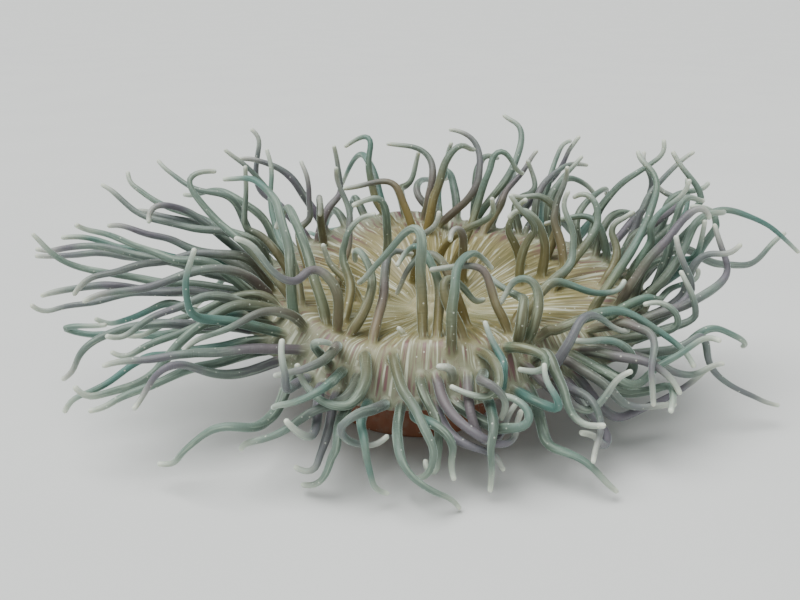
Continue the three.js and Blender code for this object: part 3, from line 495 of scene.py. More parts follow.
@dataclass
class TentacleSettler:
    """Rounds the tentacles' lines and eases them apart, so that none passes through another.

    Lengths are in millimetres.
    """

    step: float = 2.75
    fewest_points: int = 8
    rounding: int = 9
    slimness: tuple[float, float] = (0.98, 0.8)
    sway: float = 0.7
    sway_fade: tuple[float, float] = (12, 45)
    sway_pitch: tuple[float, float] = (34, 62)
    side_hint: tuple[float, float, float] = (0.3, 0.2, 1.0)
    curl_length: float = 15.0
    curl_range: tuple[float, float] = (0.1, 1.1)
    gap: float = 0.35
    rounds: int = 40
    rounds_per_search: int = 5
    search_margin: float = 4.0
    own_arc: float = 11.0
    push: float = 0.45
    spreads: int = 2
    root_fade: tuple[float, float] = (2.0, 9.0)
    least_freedom: float = 1e-3
    floor_gap: float = 0.2
    disc_gap: float = 0.3
    disc_rings: tuple[float, float] = (0.03, 0.97)
    disc_last_ring: float = 0.98
    disc_arc: float = 3.0
    steepest: float = 0.4
    lift_depth: float = 7.0
    lift_most: float = 6.0
    lift_share: float = 0.5

    def draw(self, tentacle: Tentacle, shape: BodyShape, chance: np.random.Generator) -> None:
        """Draws a tentacle's line and girth at even steps from its root to its tip.

        Args:
            tentacle: The tentacle.
            shape: The body's shape, which its root stands on.
            chance: The source of its own sway and curl.
        """
        stations = tentacle.stations
        tentacle.ring, tentacle.bearing = map(float, shape.place(stations[0]))
        first = np.linalg.norm(stations[1] - stations[0])
        before = stations[0] - tentacle.normal(shape) * first * 0.5
        after = 2 * stations[-1] - stations[-2]
        curve = smooth_curve(np.concatenate([[before], stations, [after]]))
        lengths = path_lengths(curve)
        marks = path_lengths(stations) / path_lengths(stations)[-1]
        count = max(self.fewest_points, int(round(lengths[-1] / self.step)) + 1)
        line = self.sway_line(soften(resample(curve, count), self.rounding), chance)
        tentacle.line = resample(self.curl_tip(line, chance), count)
        share = np.linspace(0, 1, count)
        tentacle.girth = np.interp(share, marks, tentacle.radii) * mix(*self.slimness, share)

    def sway_line(self, line: np.ndarray, chance: np.random.Generator) -> np.ndarray:
        """Adds the slow unevenness of a muscular tube to a line.

        Args:
            line: The line's points.
            chance: The source of its pitches and turns.

        Returns:
            The swayed line.
        """
        arc = path_lengths(line)
        tangent = unit(np.gradient(line, axis=0))
        side = unit(np.cross(tangent, np.array(self.side_hint)))
        size = self.sway * smooth(*self.sway_fade, arc)
        pitches = chance.uniform(*self.sway_pitch, 2)
        turns = chance.uniform(0, TURN, 2)
        for direction, pitch, turn in zip((side, np.cross(tangent, side)), pitches, turns):
            line = line + direction * (size * np.sin(TURN * arc / pitch + turn))[:, None]
        return line

    def curl_tip(self, line: np.ndarray, chance: np.random.Generator) -> np.ndarray:
        """Bends the last stretch of a line round by an angle of its own.

        Args:
            line: The line's points.
            chance: The source of the angle and of the way that it bends.

        Returns:
            The bent line.
        """
        steps = np.diff(line, axis=0)
        arc = path_lengths(line)
        left = arc[-1] - arc[1:]
        axis = unit(np.cross(steps[-1], chance.normal(size=3)))
        angle = chance.uniform(*self.curl_range) * (1 - smooth(0, self.curl_length, left))
        cosine, sine = np.cos(angle)[:, None], np.sin(angle)[:, None]
        along = (steps @ axis)[:, None] * axis
        turned = steps * cosine + np.cross(axis, steps) * sine + along * (1 - cosine)
        return np.concatenate([line[:1], line[0] + np.cumsum(turned, axis=0)])

    def settle(self, tentacles: list[Tentacle], shape: BodyShape) -> float:
        """Pushes near neighbours apart in rounds.

        Args:
            tentacles: The tentacles, whose lines are changed.
            shape: The body's shape, which they stay clear of.

        Returns:
            The deepest overlap left between two tentacles.
        """
        sizes = [len(t.line) for t in tentacles]
        starts = np.cumsum([0] + sizes)
        roots, tips = starts[:-1], starts[1:] - 1
        owner = np.repeat(np.arange(len(tentacles)), sizes)
        points = np.concatenate([t.line for t in tentacles])
        girth = np.concatenate([t.girth for t in tentacles])
        arc = np.concatenate([path_lengths(t.line) for t in tentacles])
        freedom = smooth(*self.root_fade, arc)
        for turn in range(self.rounds):
            if turn % self.rounds_per_search == 0:
                a, b = self.search(points, girth, owner, arc)
            apart = points[b] - points[a]
            distance = np.linalg.norm(apart, axis=1)
            lack = np.maximum(girth[a] + girth[b] + self.gap - distance, 0)
            move = unit(apart) * (lack * self.push)[:, None]
            share = freedom[a] / np.maximum(freedom[a] + freedom[b], self.least_freedom)
            shift = np.zeros_like(points)
            np.add.at(shift, a, -move * share[:, None])
            np.add.at(shift, b, move * (1 - share)[:, None])
            shift += self.keep_off(points, girth, arc, shape)
            for _ in range(self.spreads):
                spread = soften(shift, 1)
                spread[roots] = 0
                spread[tips] = (shift[tips] + shift[tips - 1]) / 2
                shift = spread
            points = points + shift * freedom[:, None]
            points[:, 2] = np.maximum(points[:, 2], girth + self.floor_gap)
        for tentacle, root, tip in zip(tentacles, roots, tips):
            tentacle.line = points[root:tip + 1]
        a, b = self.search(points, girth, owner, arc)
        return float((girth[a] + girth[b] - np.linalg.norm(points[a] - points[b], axis=1)).max())

    def search(self, points: np.ndarray, girth: np.ndarray, owner: np.ndarray,
               arc: np.ndarray) -> np.ndarray:
        """Finds the samples that may touch: of two tentacles, or far apart along one.

        Args:
            points: The samples of all the tentacles.
            girth: The tube's radius at each sample.
            owner: Which tentacle each sample is of.
            arc: How far each sample is from its root.

        Returns:
            The first samples of the pairs, and the second ones.
        """
        tree = kdtree.KDTree(len(points))
        for index, point in enumerate(points):
            tree.insert(point, index)
        tree.balance()
        widest = float(girth.max())
        found = []
        for index, point in enumerate(points):
            for _, other, _ in tree.find_range(point, girth[index] + widest + self.search_margin):
                same = owner[other] == owner[index] and arc[other] - arc[index] < self.own_arc
                if other > index and not same:
                    found.append((index, other))
        return np.array(found).T

    def keep_off(self, points: np.ndarray, girth: np.ndarray, arc: np.ndarray,
                 shape: BodyShape) -> np.ndarray:
        """Finds the lift that keeps samples off the disc's upper face.

        Args:
            points: The samples of all the tentacles.
            girth: The tube's radius at each sample.
            arc: How far each sample is from its root.
            shape: The body's shape.

        Returns:
            The upward shift of each sample.
        """
        ring, bearing = shape.place(points)
        inside = (ring < self.disc_rings[1]) & (arc > self.disc_arc)
        ring = np.minimum(ring, self.disc_last_ring)
        top = shape.height(ring, bearing)
        slope = shape.normal(np.maximum(ring, self.disc_rings[0]), bearing)[:, 2]
        lack = top + (girth + self.disc_gap) / np.maximum(slope, self.steepest) - points[:, 2]
        lack = np.where(inside & (points[:, 2] > top - self.lift_depth),
                        np.clip(lack, 0, self.lift_most), 0)
        return np.outer(lack * self.lift_share, UP)


# ---- the skin ---------------------------------------------------------------------------------


@dataclass(frozen=True)
class BakeSheet:
    """Where each stretch of skin lies on the bake map, in millimetres of skin."""

    width: float = 1340.0
    strip: float = 25.0
    gap: float = 2.0
    wall_length: float = 330.0
    wall_margin: float = 0.01
    row: float = 184.0
    rows: int = 5

    @property
    def height(self) -> float:
        """The whole height of the sheet."""
        return self.wall_length + self.rows * self.row

    def wall(self, turn: float, length: float) -> tuple[float, float]:
        """The place of a point of the body, by its share of a turn and its distance down."""
        return turn * (1 - 2 * self.wall_margin) + self.wall_margin, length / self.height

    def tube(self, index: int, turn: float, along: float) -> tuple[float, float]:
        """Finds the place of a point of a tentacle.

        Args:
            index: Which tentacle it is.
            turn: How far round the tube the point is, as a share of a turn.
            along: How far along the tube it is.

        Returns:
            The place, as shares of the sheet's width and height.
        """
        per_row = int(self.width // (self.strip + self.gap))
        row, column = divmod(index, per_row)
        across = column * (self.strip + self.gap) + self.gap + turn * self.strip
        down = self.wall_length + row * self.row + self.gap + along
        return across / self.width, down / self.height


@dataclass(frozen=True)
class DiscFlesh:
    """The mouth, the lips and the disc with its rounded rim, as rows of points outward.

    Lengths are in millimetres. The lips' profile gives how far outside the slit each row lies
    and how high above the disc.
    """

    shape: BodyShape = BodyShape()
    step: float = 2.2
    lips: tuple[tuple[float, float], ...] = (
        (-6.9, -12.0), (-6.6, -9.0), (-6.3, -5.5), (-5.7, -1.5), (-4.8, 1.6), (-3.6, 4.0), (-2.3, 5.6),
        (-0.9, 6.4), (0.5, 6.3), (1.8, 5.4), (3.0, 3.8), (4.1, 2.1), (5.2, 0.9), (6.4, 0.2))
    lip_fold: Wave = Wave(0.32, 30)
    lip_fold_width: float = 3.2
    rim_rows: int = 8
    wander: tuple[Wave, Wave] = (Wave(1.4, 3), Wave(0.8, 11))
    wander_twist: float = 5.0
    fine_pleats: tuple[Wave, Wave] = (Wave(0.5, 72), Wave(0.35, 41))
    fine_fade: tuple[float, float] = (0.3, 0.7)
    broad_pleat: Wave = Wave(0.9, 19)
    broad_fade: tuple[float, float] = (0.55, 0.85)
    gold_rise: tuple[float, float] = (0.12, 0.34)
    gold_fall: tuple[float, float] = (0.66, 1.0)
    gold_wave: Wave = Wave(0.15, 2, 4)

    def mouth_rows(self, bearing: np.ndarray) -> list[np.ndarray]:
        """Makes the rows from deep in the mouth's slit over the lips and out to the disc.

        Args:
            bearing: The bearing of each column of points.

        Returns:
            The rows.
        """
        shape = self.shape
        rows = []
        for offset, lift in self.lips:
            fold = self.lip_fold.at(bearing) * math.exp(-((offset / self.lip_fold_width) ** 2))
            x = shape.centre_x + (shape.lip_half_length + offset) * np.cos(bearing)
            y = shape.centre_y + (shape.lip_half_width + offset) * np.sin(bearing)
            level = shape.height(*shape.place(np.stack([x, y], axis=-1)))
            rows.append(np.stack([x, y, level + lift + fold], axis=-1))
        inner = rows[-1]
        outer = shape.point(np.full_like(bearing, shape.mouth_ring), bearing)
        span = float(np.linalg.norm(outer - inner, axis=1).mean())
        for share in np.linspace(0, 1, int(span / self.step) + 2)[1:]:
            row = mix(inner, outer, share)
            row[:, 2] = shape.height(*shape.place(row))
            rows.append(row)
        return rows

    def rim_ring(self, bearing: np.ndarray) -> np.ndarray:
        """The ring at which the rim starts to round over, half its thickness from the edge."""
        return 1 - self.shape.edge_thickness / 2 / self.shape.reach(bearing)

    def disc_rows(self, bearing: np.ndarray) -> list[np.ndarray]:
        """Makes the rows of the disc's upper face and of the rounded rim.

        Args:
            bearing: The bearing of each column of points.

        Returns:
            The rows, of which the last lies under the rim.
        """
        shape = self.shape
        rim = self.rim_ring(bearing)
        count = int(float(shape.reach(bearing).mean()) * (1 - shape.mouth_ring) / self.step)
        rows = []
        for share in np.linspace(0, 1, count + 1)[1:]:
            ring = mix(shape.mouth_ring, rim, share)
            row = shape.point(ring, bearing)
            row[:, 2] += self.pleats(ring, bearing)
            rows.append(row)
        middle = shape.layer(rim, bearing, 0.5)
        up = shape.point(rim, bearing) - middle
        step = shape.slope_step
        outward = unit(shape.point(rim + step, bearing) - shape.point(rim - step, bearing))
        outward = outward * np.linalg.norm(up, axis=1, keepdims=True)
        for angle in np.linspace(0, math.pi, self.rim_rows)[1:]:
            rows.append(middle + up * math.cos(angle) + outward * math.sin(angle))
        return rows

    def pleats(self, ring: np.ndarray, bearing: np.ndarray) -> np.ndarray:
        """Finds the height of the folds that run out over the disc to its rim.

        Args:
            ring: Rings of the places wanted.
            bearing: Bearings of the places wanted.

        Returns:
            The height at each place.
        """
        wander = self.wander[0].at(bearing, self.wander_twist * ring) + self.wander[1].at(bearing)
        fine = self.fine_pleats[0].at(bearing, wander) + self.fine_pleats[1].at(bearing, -wander)
        broad = self.broad_pleat.at(bearing, wander)
        return fine * smooth(*self.fine_fade, ring) + broad * smooth(*self.broad_fade, ring)

    def golden(self, ring: np.ndarray, bearing: np.ndarray) -> np.ndarray:
        """How golden the flesh is at a place on the disc: most between the mouth and the fold."""
        inner = smooth(*self.gold_rise, ring) * (1 - smooth(*self.gold_fall, ring))
        return inner * (1 - self.gold_wave.size + self.gold_wave.at(bearing))


@dataclass(frozen=True)
class ColumnFlesh:
    """The collar, the column and the foot, as rows of points down to the floor and under it.

    Lengths are in millimetres. The foot's profile gives how far inside its edge each row lies
    and how high.
    """

    shape: BodyShape = BodyShape()
    step: float = 2.4
    collar_share: float = 0.45
    rounding: int = 10
    files: int = 48
    rib_height: float = 0.45
    rib_fade: tuple[float, float, float, float] = (0.02, 0.12, 0.93, 1.0)
    wart_height: float = 1.4
    wart_pitch: float = 5.2
    wart_width: float = 0.24  # Of a file.
    wart_length: float = 0.22  # Of the pitch.
    wart_sizes: tuple[float, float] = (0.6, 0.4)
    wart_scatter: tuple[float, float] = (12.9898, 78.233)  # Uneven factors, so sizes seem unordered.
    wart_fade: tuple[float, float, float, float] = (0.04, 0.12, 0.55, 0.75)
    foot_level: float = 1.4
    foot_profile: tuple[tuple[float, float], ...] = (
        (0.5, 0.3), (1.4, 0.0), (14.0, 0.0), (32.0, 0.0), (48.0, 0.0))

    def wall_rows(self, bearing: np.ndarray, rim: np.ndarray) -> tuple[list[np.ndarray], np.ndarray]:
        """Makes the rows from under the rim down the collar, the column and the foot.

        Args:
            bearing: The bearing of each column of points.
            rim: The row under the rim that they start from.

        Returns:
            The rows after that one, and how much of a wart each of their points is.
        """
        shape = self.shape
        ring = np.full_like(bearing, mix(shape.collar_ring, 1.0, self.collar_share))
        path = np.array([rim, shape.layer(ring, bearing, 1.0)] + shape.wall(bearing))
        lengths = np.linalg.norm(np.diff(path, axis=0), axis=2).mean(axis=1)
        counts = np.maximum(2, np.round(lengths / self.step).astype(int))
        rows = [mix(path[span], path[span + 1], share) for span, count in enumerate(counts)
                for share in np.linspace(0, 1, count, endpoint=False)]
        rows = soften(np.array(rows + [path[-1]]), self.rounding)
        wall, warts = self.roughen(rows, bearing)
        wall[-1][:, 2] = self.foot_level
        return wall[1:], warts[1:]

    def roughen(self, rows: np.ndarray, bearing: np.ndarray) -> tuple[list[np.ndarray], np.ndarray]:
        """Raises the column's lengthwise ribs and its files of small warts.

        Args:
            rows: The wall's rows of points.
            bearing: The bearing of each column of points.

        Returns:
            The raised rows, and how much of a wart each point is.
        """
        around = np.roll(rows, -1, axis=1) - np.roll(rows, 1, axis=1)
        down = np.gradient(rows, axis=0)
        normal = unit(np.cross(around, -down))
        distance = running(np.linalg.norm(down, axis=2).mean(axis=1)[:-1])
        share = distance / distance[-1]
        fade = smooth(*self.rib_fade[:2], share) * (1 - smooth(*self.rib_fade[2:], share))
        upper = smooth(*self.wart_fade[:2], share) * (1 - smooth(*self.wart_fade[2:], share))
        ribs = self.rib_height * np.cos(self.files * bearing) * fade[:, None]
        turn = bearing / TURN * self.files
        file = np.round(turn)
        level = distance[:, None] / self.wart_pitch + 0.5 * (file % 2)
        least, spread = self.wart_sizes
        across, along = self.wart_scatter
        size = least + spread * np.sin(across * file + along * np.round(level))
        bumps = np.exp(-(((turn - file) / self.wart_width) ** 2)
                       - ((level - np.round(level)) / self.wart_length) ** 2)
        warts = size * bumps * upper[:, None]
        raised = ribs + self.wart_height * warts
        return list(rows + normal * raised[..., None]), warts

    def foot_rows(self, foot: np.ndarray) -> list[np.ndarray]:
        """Makes the rows that round the foot's edge on to the floor and go in under it.

        Args:
            foot: The wall's last row.

        Returns:
            The rows.
        """
        rows = []
        for inset, level in self.foot_profile:
            span = np.linalg.norm(foot[:, :2], axis=1, keepdims=True)
            row = foot * ((span - inset) / span)
            row[:, 2] = level
            rows.append(row)
        return rows


@dataclass
class TentacleFlesh:
    """The tentacles' tubes, each from the edge of its hole in the disc to its rounded tip.

    Lengths are in millimetres, and places on the bands' circle are in cells of the pattern.
    """

    disc: DiscFlesh
    book: MeshBook
    sheet: BakeSheet
    sides: int = 10
    flare: float = 0.26
    flare_length: float = 2.4
    slimmest_root: float = 0.9
    root_spacing: float = 1.3
    hole_size: tuple[float, float] = (1.12, 0.6)
    hole_spacing: float = 0.2
    hole_edge: float = 0.3
    root_lift: float = 0.5
    upright_length: float = 6.0
    tip_trim: float = 1.05
    shortest_end: float = 0.4
    ripples: tuple[tuple[float, float], ...] = ((0.022, 5.1), (0.016, 2.3))
    dome_angles: tuple[float, ...] = (0.42, 0.84, 1.22)
    apex_arc: float = 0.5
    apex_on_sheet: float = 0.6
    band_circle: float = 1.5  # About nine bands round a tube, each some 2.4 mm wide.
    band_length: float = 24.0
    band_offset: float = 60.0
    gold_fade: tuple[float, float] = (8, 62)
    gold_loss: float = 0.9
    disc_fade: tuple[float, float] = (0.0, 6.5)
    calm_fade: tuple[float, float] = (0.3, 2.6)
    disc_start: float = 36.0

    def size_roots(self, tentacles: list[Tentacle]) -> None:
        """Settles how wide each root and its hole may be beside its neighbours.

        Args:
            tentacles: The tentacles, which are told.
        """
        roots = np.array([t.line[0] for t in tentacles])
        factor, edge = self.hole_size
        for number, tentacle in enumerate(tentacles):
            away = np.linalg.norm(roots - roots[number], axis=1)
            away[number] = FAR
            room = float(away.min()) / 2
            girth = tentacle.girth[0]
            radius = min(girth * (1 + self.flare), room - self.root_spacing)
            radius = max(radius, girth * self.slimmest_root)
            widest = max(room - self.hole_spacing, radius + self.hole_edge)
            tentacle.root_radius, tentacle.hole = radius, min(radius * factor + edge, widest)

    def frames(self, line: np.ndarray,
               normal: np.ndarray) -> tuple[np.ndarray, np.ndarray, np.ndarray]:
        """Carries a pair of side directions along a line without twisting it.

        Args:
            line: The line's points.
            normal: The direction square to the disc at the root.

        Returns:
            The line's own direction and the two side directions at each point.
        """
        hold = 1 - smooth(0.0, self.upright_length, path_lengths(line))
        tangent = unit(mix(unit(np.gradient(line, axis=0)), normal[None, :], hold[:, None]))
        side = unit(np.cross(BACK, normal))
        sides = []
        for direction in tangent:
            side = unit(side - direction * side.dot(direction))
            sides.append(side)
        return tangent, np.array(sides), np.cross(tangent, np.array(sides))

    def trim(self, tentacle: Tentacle, normal: np.ndarray) -> tuple[np.ndarray, np.ndarray]:
        """Cuts a tentacle's line back by the room that its rounded tip takes.

        Args:
            tentacle: The tentacle.
            normal: The direction square to the disc at its root.

        Returns:
            The line's points, and the tube's radius at each.
        """
        line = tentacle.line.copy()
        line[0] = line[0] + normal * self.root_lift
        arc = path_lengths(line)
        total, tip_radius = arc[-1], float(tentacle.girth[-1])
        keep = arc < total - tip_radius * self.tip_trim
        end = line[keep][-1]
        left = max(total - tip_radius - arc[keep][-1], self.shortest_end)
        line = np.concatenate([line[keep], [end + unit(line[-1] - end) * left]])
        marks = np.linspace(0, total, len(tentacle.girth))
        return line, np.interp(path_lengths(line), marks, tentacle.girth)

    def grow(self, number: int, tentacle: Tentacle, tone: float, loop: list[int],
             chance: np.random.Generator) -> None:
        """Grows one tentacle from the edge of its hole to its rounded tip.

        Args:
            number: Which tentacle it is, for its place on the bake sheet.
            tentacle: The tentacle.
            tone: Its own tone, from teal at 0 to mauve at 1.
            loop: The points round its hole.
            chance: The source of small differences between tentacles.
        """
        normal = tentacle.normal(self.disc.shape)
        line, girth = self.trim(tentacle, normal)
        arc = path_lengths(line)
        girth = girth + (tentacle.root_radius - girth[0]) * np.exp(-arc / self.flare_length)
        phases = chance.uniform(0, TURN, len(self.ripples) + 1)  # The last one is spare.
        girth = girth * (1 + sum(size * np.sin(arc / pitch + phase)
                                 for (size, pitch), phase in zip(self.ripples, phases)))
        tip = girth[-1] = max(girth[-1], float(tentacle.girth[-1]))
        tangent, side, other = self.frames(line, normal)
        angle = np.linspace(0, TURN, self.sides, endpoint=False)
        stops = list(zip(line, girth, side, other, arc))
        stops += [(line[-1] + tangent[-1] * tip * math.sin(lean), tip * math.cos(lean), side[-1],
                   other[-1], arc[-1] + tip * lean) for lean in self.dome_angles]
        rings = [centre + radius * (np.outer(np.cos(angle), s) + np.outer(np.sin(angle), o))
                 for centre, radius, s, o, _ in stops]
        arcs = [stop[-1] for stop in stops]
        along = np.append(np.repeat(arcs, self.sides), arcs[-1] + self.apex_arc)
        wide = np.append(np.tile(angle, len(rings)), 0.0)
        streak = np.stack([self.band_circle * np.cos(wide), self.band_circle * np.sin(wide),
                           along / self.band_length], axis=1)
        gold = float(self.disc.golden(np.array(tentacle.ring), np.array(tentacle.bearing)))
        first = self.book.add_points(
            np.concatenate(rings + [(line[-1] + tangent[-1] * tip)[None, :]]),
            streak + chance.uniform(-self.band_offset, self.band_offset, 3),
            along=along, tip=along[-1] - along, tone=tone, ring=tentacle.ring,
            gold=gold * (1 - self.gold_loss * smooth(*self.gold_fade, along)),
            disc=1 - smooth(*self.disc_fade, along), calm=smooth(*self.calm_fade, along))
        self.zip_root(loop, first, tentacle, side[0], other[0])
        self.lay_tube(number, first, arcs)

    def lay_tube(self, number: int, first: int, arcs: list[float]) -> None:
        """Adds the faces of a tube and of its tip.

        Args:
            number: Which tentacle it is.
            first: The index of the first point of its lowest ring.
            arcs: How far along the tube each of its rings is.
        """
        last = len(arcs) - 1
        for row in range(last):
            for j in range(self.sides):
                cells = ((row, j), (row, j + 1), (row + 1, j + 1), (row + 1, j))
                self.book.add_face(
                    [first + k * self.sides + c % self.sides for k, c in cells],
                    [self.sheet.tube(number, c / self.sides, arcs[k]) for k, c in cells])
        low, top = first + last * self.sides, first + len(arcs) * self.sides
        for j in range(self.sides):
            spots = ((j, 0.0), (j + 1, 0.0), (j + 0.5, self.apex_on_sheet))
            self.book.add_face([low + j, low + (j + 1) % self.sides, top],
                               [self.sheet.tube(number, c / self.sides, arcs[-1] + more)
                                for c, more in spots])

    def zip_root(self, loop: list[int], first: int, tentacle: Tentacle, side: np.ndarray,
                 other: np.ndarray) -> None:
        """Joins the edge of a hole to the tentacle's lowest ring, in the order of their angles.

        Args:
            loop: The body's points round the hole.
            first: The index of the first point of the lowest ring.
            tentacle: The tentacle.
            side: The direction from the root in which the ring starts.
            other: The direction square to it, in which the ring goes on.
        """
        body, tube = self.book.points[0], self.book.points[-1]
        outward = body[loop] - tentacle.line[0]
        angles = np.arctan2(outward @ other, outward @ side)
        if np.unwrap(angles)[-1] < np.unwrap(angles)[0]:
            loop, angles = loop[::-1], angles[::-1]
        outer = np.unwrap(angles)
        m, n = len(loop), self.sides
        start = int(round(outer[0] / TURN * n))
        outer = [*outer, outer[0] + TURN, math.inf]
        inner = [*((start + np.arange(n + 1)) * TURN / n), math.inf]
        hole = [(loop[k % m], body[loop[k % m]]) for k in range(m + 1)]
        ring = [(first + (start + k) % n, tube[(start + k) % n]) for k in range(n + 1)]
        i = j = 0
        while i < m or j < n:
            if outer[i + 1] <= inner[j + 1]:
                spots = (hole[i], hole[i + 1], ring[j])
                i += 1
            else:
                spots = (ring[j + 1], ring[j], hole[i])
                j += 1
            if len({index for index, _ in spots}) == len(spots):
                self.book.add_face([index for index, _ in spots],
                                   self.body_places(np.array([spot for _, spot in spots])))

    def body_places(self, spots: np.ndarray) -> list[tuple[float, float]]:
        """Finds places on the bake sheet for points on or just over the disc.

        Args:
            spots: The points of one face.

        Returns:
            The place of each.
        """
        shape = self.disc.shape
        ring, bearing = shape.place(spots)
        turn = (bearing / TURN) % 1.0
        turn = np.where(turn - turn.min() > 0.5, turn - 1, turn)
        down = np.maximum(shape.reach(bearing) * (ring - shape.mouth_ring) + self.disc_start, 0.0)
        return [self.sheet.wall(float(t), float(d)) for t, d in zip(turn, down)]


@dataclass
class AnemoneSkin:
    """The animal's one skin: mouth, disc, rim, column and foot, with every tentacle grown on.

    Lengths are in millimetres, and places on the streaks' circle are in cells of the pattern.
    """

    disc: DiscFlesh = DiscFlesh()
    wall: ColumnFlesh = ColumnFlesh()
    sheet: BakeSheet = BakeSheet()
    book: MeshBook = field(default_factory=MeshBook)
    columns: int = 300
    column_fade: tuple[int, int] = (-3, 14)  # Rows above and below the rim's last.
    streak_circle: float = 42.0  # About 264 streaks to a turn: 2.7 mm apart at the rim.
    streak_length: float = 38.0
    calm_fade: tuple[float, float] = (-0.6, 1.3)
    hole_facing: float = 0.2
    hole_depth: float = 4.0
    settled: float = 0.999
    crease_rounds: int = 5
    crease_factor: float = 0.5

    def lay_body(self, tentacles: list[Tentacle]) -> tuple[np.ndarray, np.ndarray]:
        """Lays the body's grid of points and gives each what it knows.

        Args:
            tentacles: The tentacles, whose roots calm the streaks round them.

        Returns:
            The grid of points, row by row, and how far each row is from the first.
        """
        bearing = np.linspace(0, TURN, self.columns, endpoint=False)
        face = self.disc.mouth_rows(bearing) + self.disc.disc_rows(bearing)
        wall, warts = self.wall.wall_rows(bearing, face[-1])
        foot = self.wall.foot_rows(wall[-1])
        grid = np.array(face + wall + foot)
        top, rows = len(face), len(grid)
        distances = running(np.linalg.norm(np.diff(grid, axis=0), axis=2).mean(axis=1))
        index = np.repeat(np.arange(rows)[:, None], self.columns, axis=1)
        above, below = self.column_fade
        column = smooth(top + above, top + below, index)
        ring = np.where(index < top, self.disc.shape.place(grid)[0], 1.0)
        calm = smooth(*self.calm_fade, self.root_distance(grid.reshape(-1, 3), tentacles))
        streak = np.stack([self.streak_circle * np.cos(bearing) + 0 * index,
                           self.streak_circle * np.sin(bearing) + 0 * index,
                           distances[:, None] / self.streak_length + 0 * index], axis=-1)
        self.book.add_points(
            grid, streak, column=column, ring=ring,
            gold=self.disc.golden(ring, bearing) * (1 - column),
            calm=np.where(index < top, calm.reshape(index.shape), 1.0),
            low=np.where(index < top, 0.0, (index - top) / (rows - top - 1)),
            wart=np.pad(warts, ((top, len(foot)), (0, 0))))
        return grid, distances

    def root_distance(self, points: np.ndarray, tentacles: list[Tentacle]) -> np.ndarray:
        """Finds how far points are from the edge of the nearest tentacle's root.

        Args:
            points: The points.
            tentacles: The tentacles.

        Returns:
            The distance of each point.
        """
        nearest = np.full(len(points), FAR)
        for tentacle in tentacles:
            away = np.linalg.norm(points - tentacle.line[0], axis=1) - tentacle.hole
            nearest = np.minimum(nearest, away)
        return nearest

    def cut_holes(self, grid: np.ndarray, tentacles: list[Tentacle]) -> np.ndarray:
        """Gives each cell of the body's grid the tentacle that it makes way for.

        Args:
            grid: The body's grid of points.
            tentacles: The tentacles.

        Returns:
            For each cell the tentacle's number, or -1.
        """
        across = np.roll(grid, -1, axis=1)
        centres = (grid[:-1] + grid[1:] + across[:-1] + across[1:]) / 4
        facing = unit(np.cross(grid[1:] - across[:-1], across[1:] - grid[:-1]))
        owner = np.full(centres.shape[:2], -1)
        best = np.full(centres.shape[:2], FAR)
        for number, tentacle in enumerate(tentacles):
            normal = tentacle.normal(self.disc.shape)
            offset = centres - tentacle.line[0]
            away = np.linalg.norm(offset, axis=2)
            level = np.abs(facing @ normal) > self.hole_facing
            above = offset @ normal > -self.hole_depth
            hit = (away < tentacle.hole) & (away < best) & level & above
            owner[hit] = number
            best[hit] = away[hit]
        return owner

    def lay_faces(self, grid: np.ndarray, distances: np.ndarray, owner: np.ndarray) -> None:
        """Adds the body's faces outside the holes, and closes the mouth and the foot.

        Args:
            grid: The body's grid of points.
            distances: How far each row is from the first.
            owner: The tentacle that each cell makes way for, or -1.
        """
        last, columns = len(grid) - 1, self.columns
        for (i, j), taken in np.ndenumerate(owner):
            if taken < 0:
                cells = ((i, j), (i + 1, j), (i + 1, j + 1), (i, j + 1))
                self.book.add_face([row * columns + c % columns for row, c in cells],
                                   [self.sheet.wall(c / columns, distances[row]) for row, c in cells])
        for row, order in ((0, 1), (last, -1)):
            foot = float(row == last)
            centre = self.book.add_points(grid[row].mean(axis=0), np.zeros(3), column=foot, low=foot)
            for j in range(columns):
                corners = [centre, row * columns + j, row * columns + (j + 1) % columns]
                places = [self.sheet.wall(c / columns, distances[row]) for c in (j, j, j + 1)]
                self.book.add_face(corners[::order], places[::order])

    def hole_loop(self, cells: np.ndarray) -> list[int]:
        """Finds the points round a hole, in order.

        Args:
            cells: Row and column of each cell taken out.

        Returns:
            The indices of the longest closed edge of the hole.
        """
        edges = set()
        for i, j in cells.tolist():
            k = (j + 1) % self.columns
            low, high = i * self.columns, (i + 1) * self.columns
            ring = [low + j, high + j, high + k, low + k]
            for a, b in zip(ring, ring[1:] + ring[:1]):
                if (b, a) in edges:
                    edges.discard((b, a))
                else:
                    edges.add((a, b))
        after: dict[int, list[int]] = {}
        for a, b in sorted(edges):
            after.setdefault(a, []).append(b)
        loops = []
        while after:
            start = here = min(after)
            loop: list[int] = []
            while here in after and not (loop and here == start):
                loop.append(here)
                onward = after[here].pop()
                if not after[here]:
                    del after[here]
                here = onward
            loops.append(loop)
        return max(loops, key=len)

    def build(self, tentacles: list[Tentacle]) -> bpy.types.Object:
        """Builds the whole skin as one object.

        Args:
            tentacles: The tentacles, with their lines settled.

        Returns:
            The skin.
        """
        chance = np.random.default_rng(SEED)
        flesh = TentacleFlesh(self.disc, self.book, self.sheet)
        flesh.size_roots(tentacles)
        grid, distances = self.lay_body(tentacles)
        owner = self.cut_holes(grid, tentacles)
        self.lay_faces(grid, distances, owner)
        for number, tentacle in enumerate(tentacles):
            cells = np.argwhere(owner == number)
            tone = float(chance.uniform(0, 1))
            if len(cells):
                flesh.grow(number, tentacle, tone, self.hole_loop(cells), chance)
            else:
                LOG.warning("tentacle %d has no hole", number)
        skin = self.book.build("anemone_skin")
        self.soften_roots(skin)
        return skin

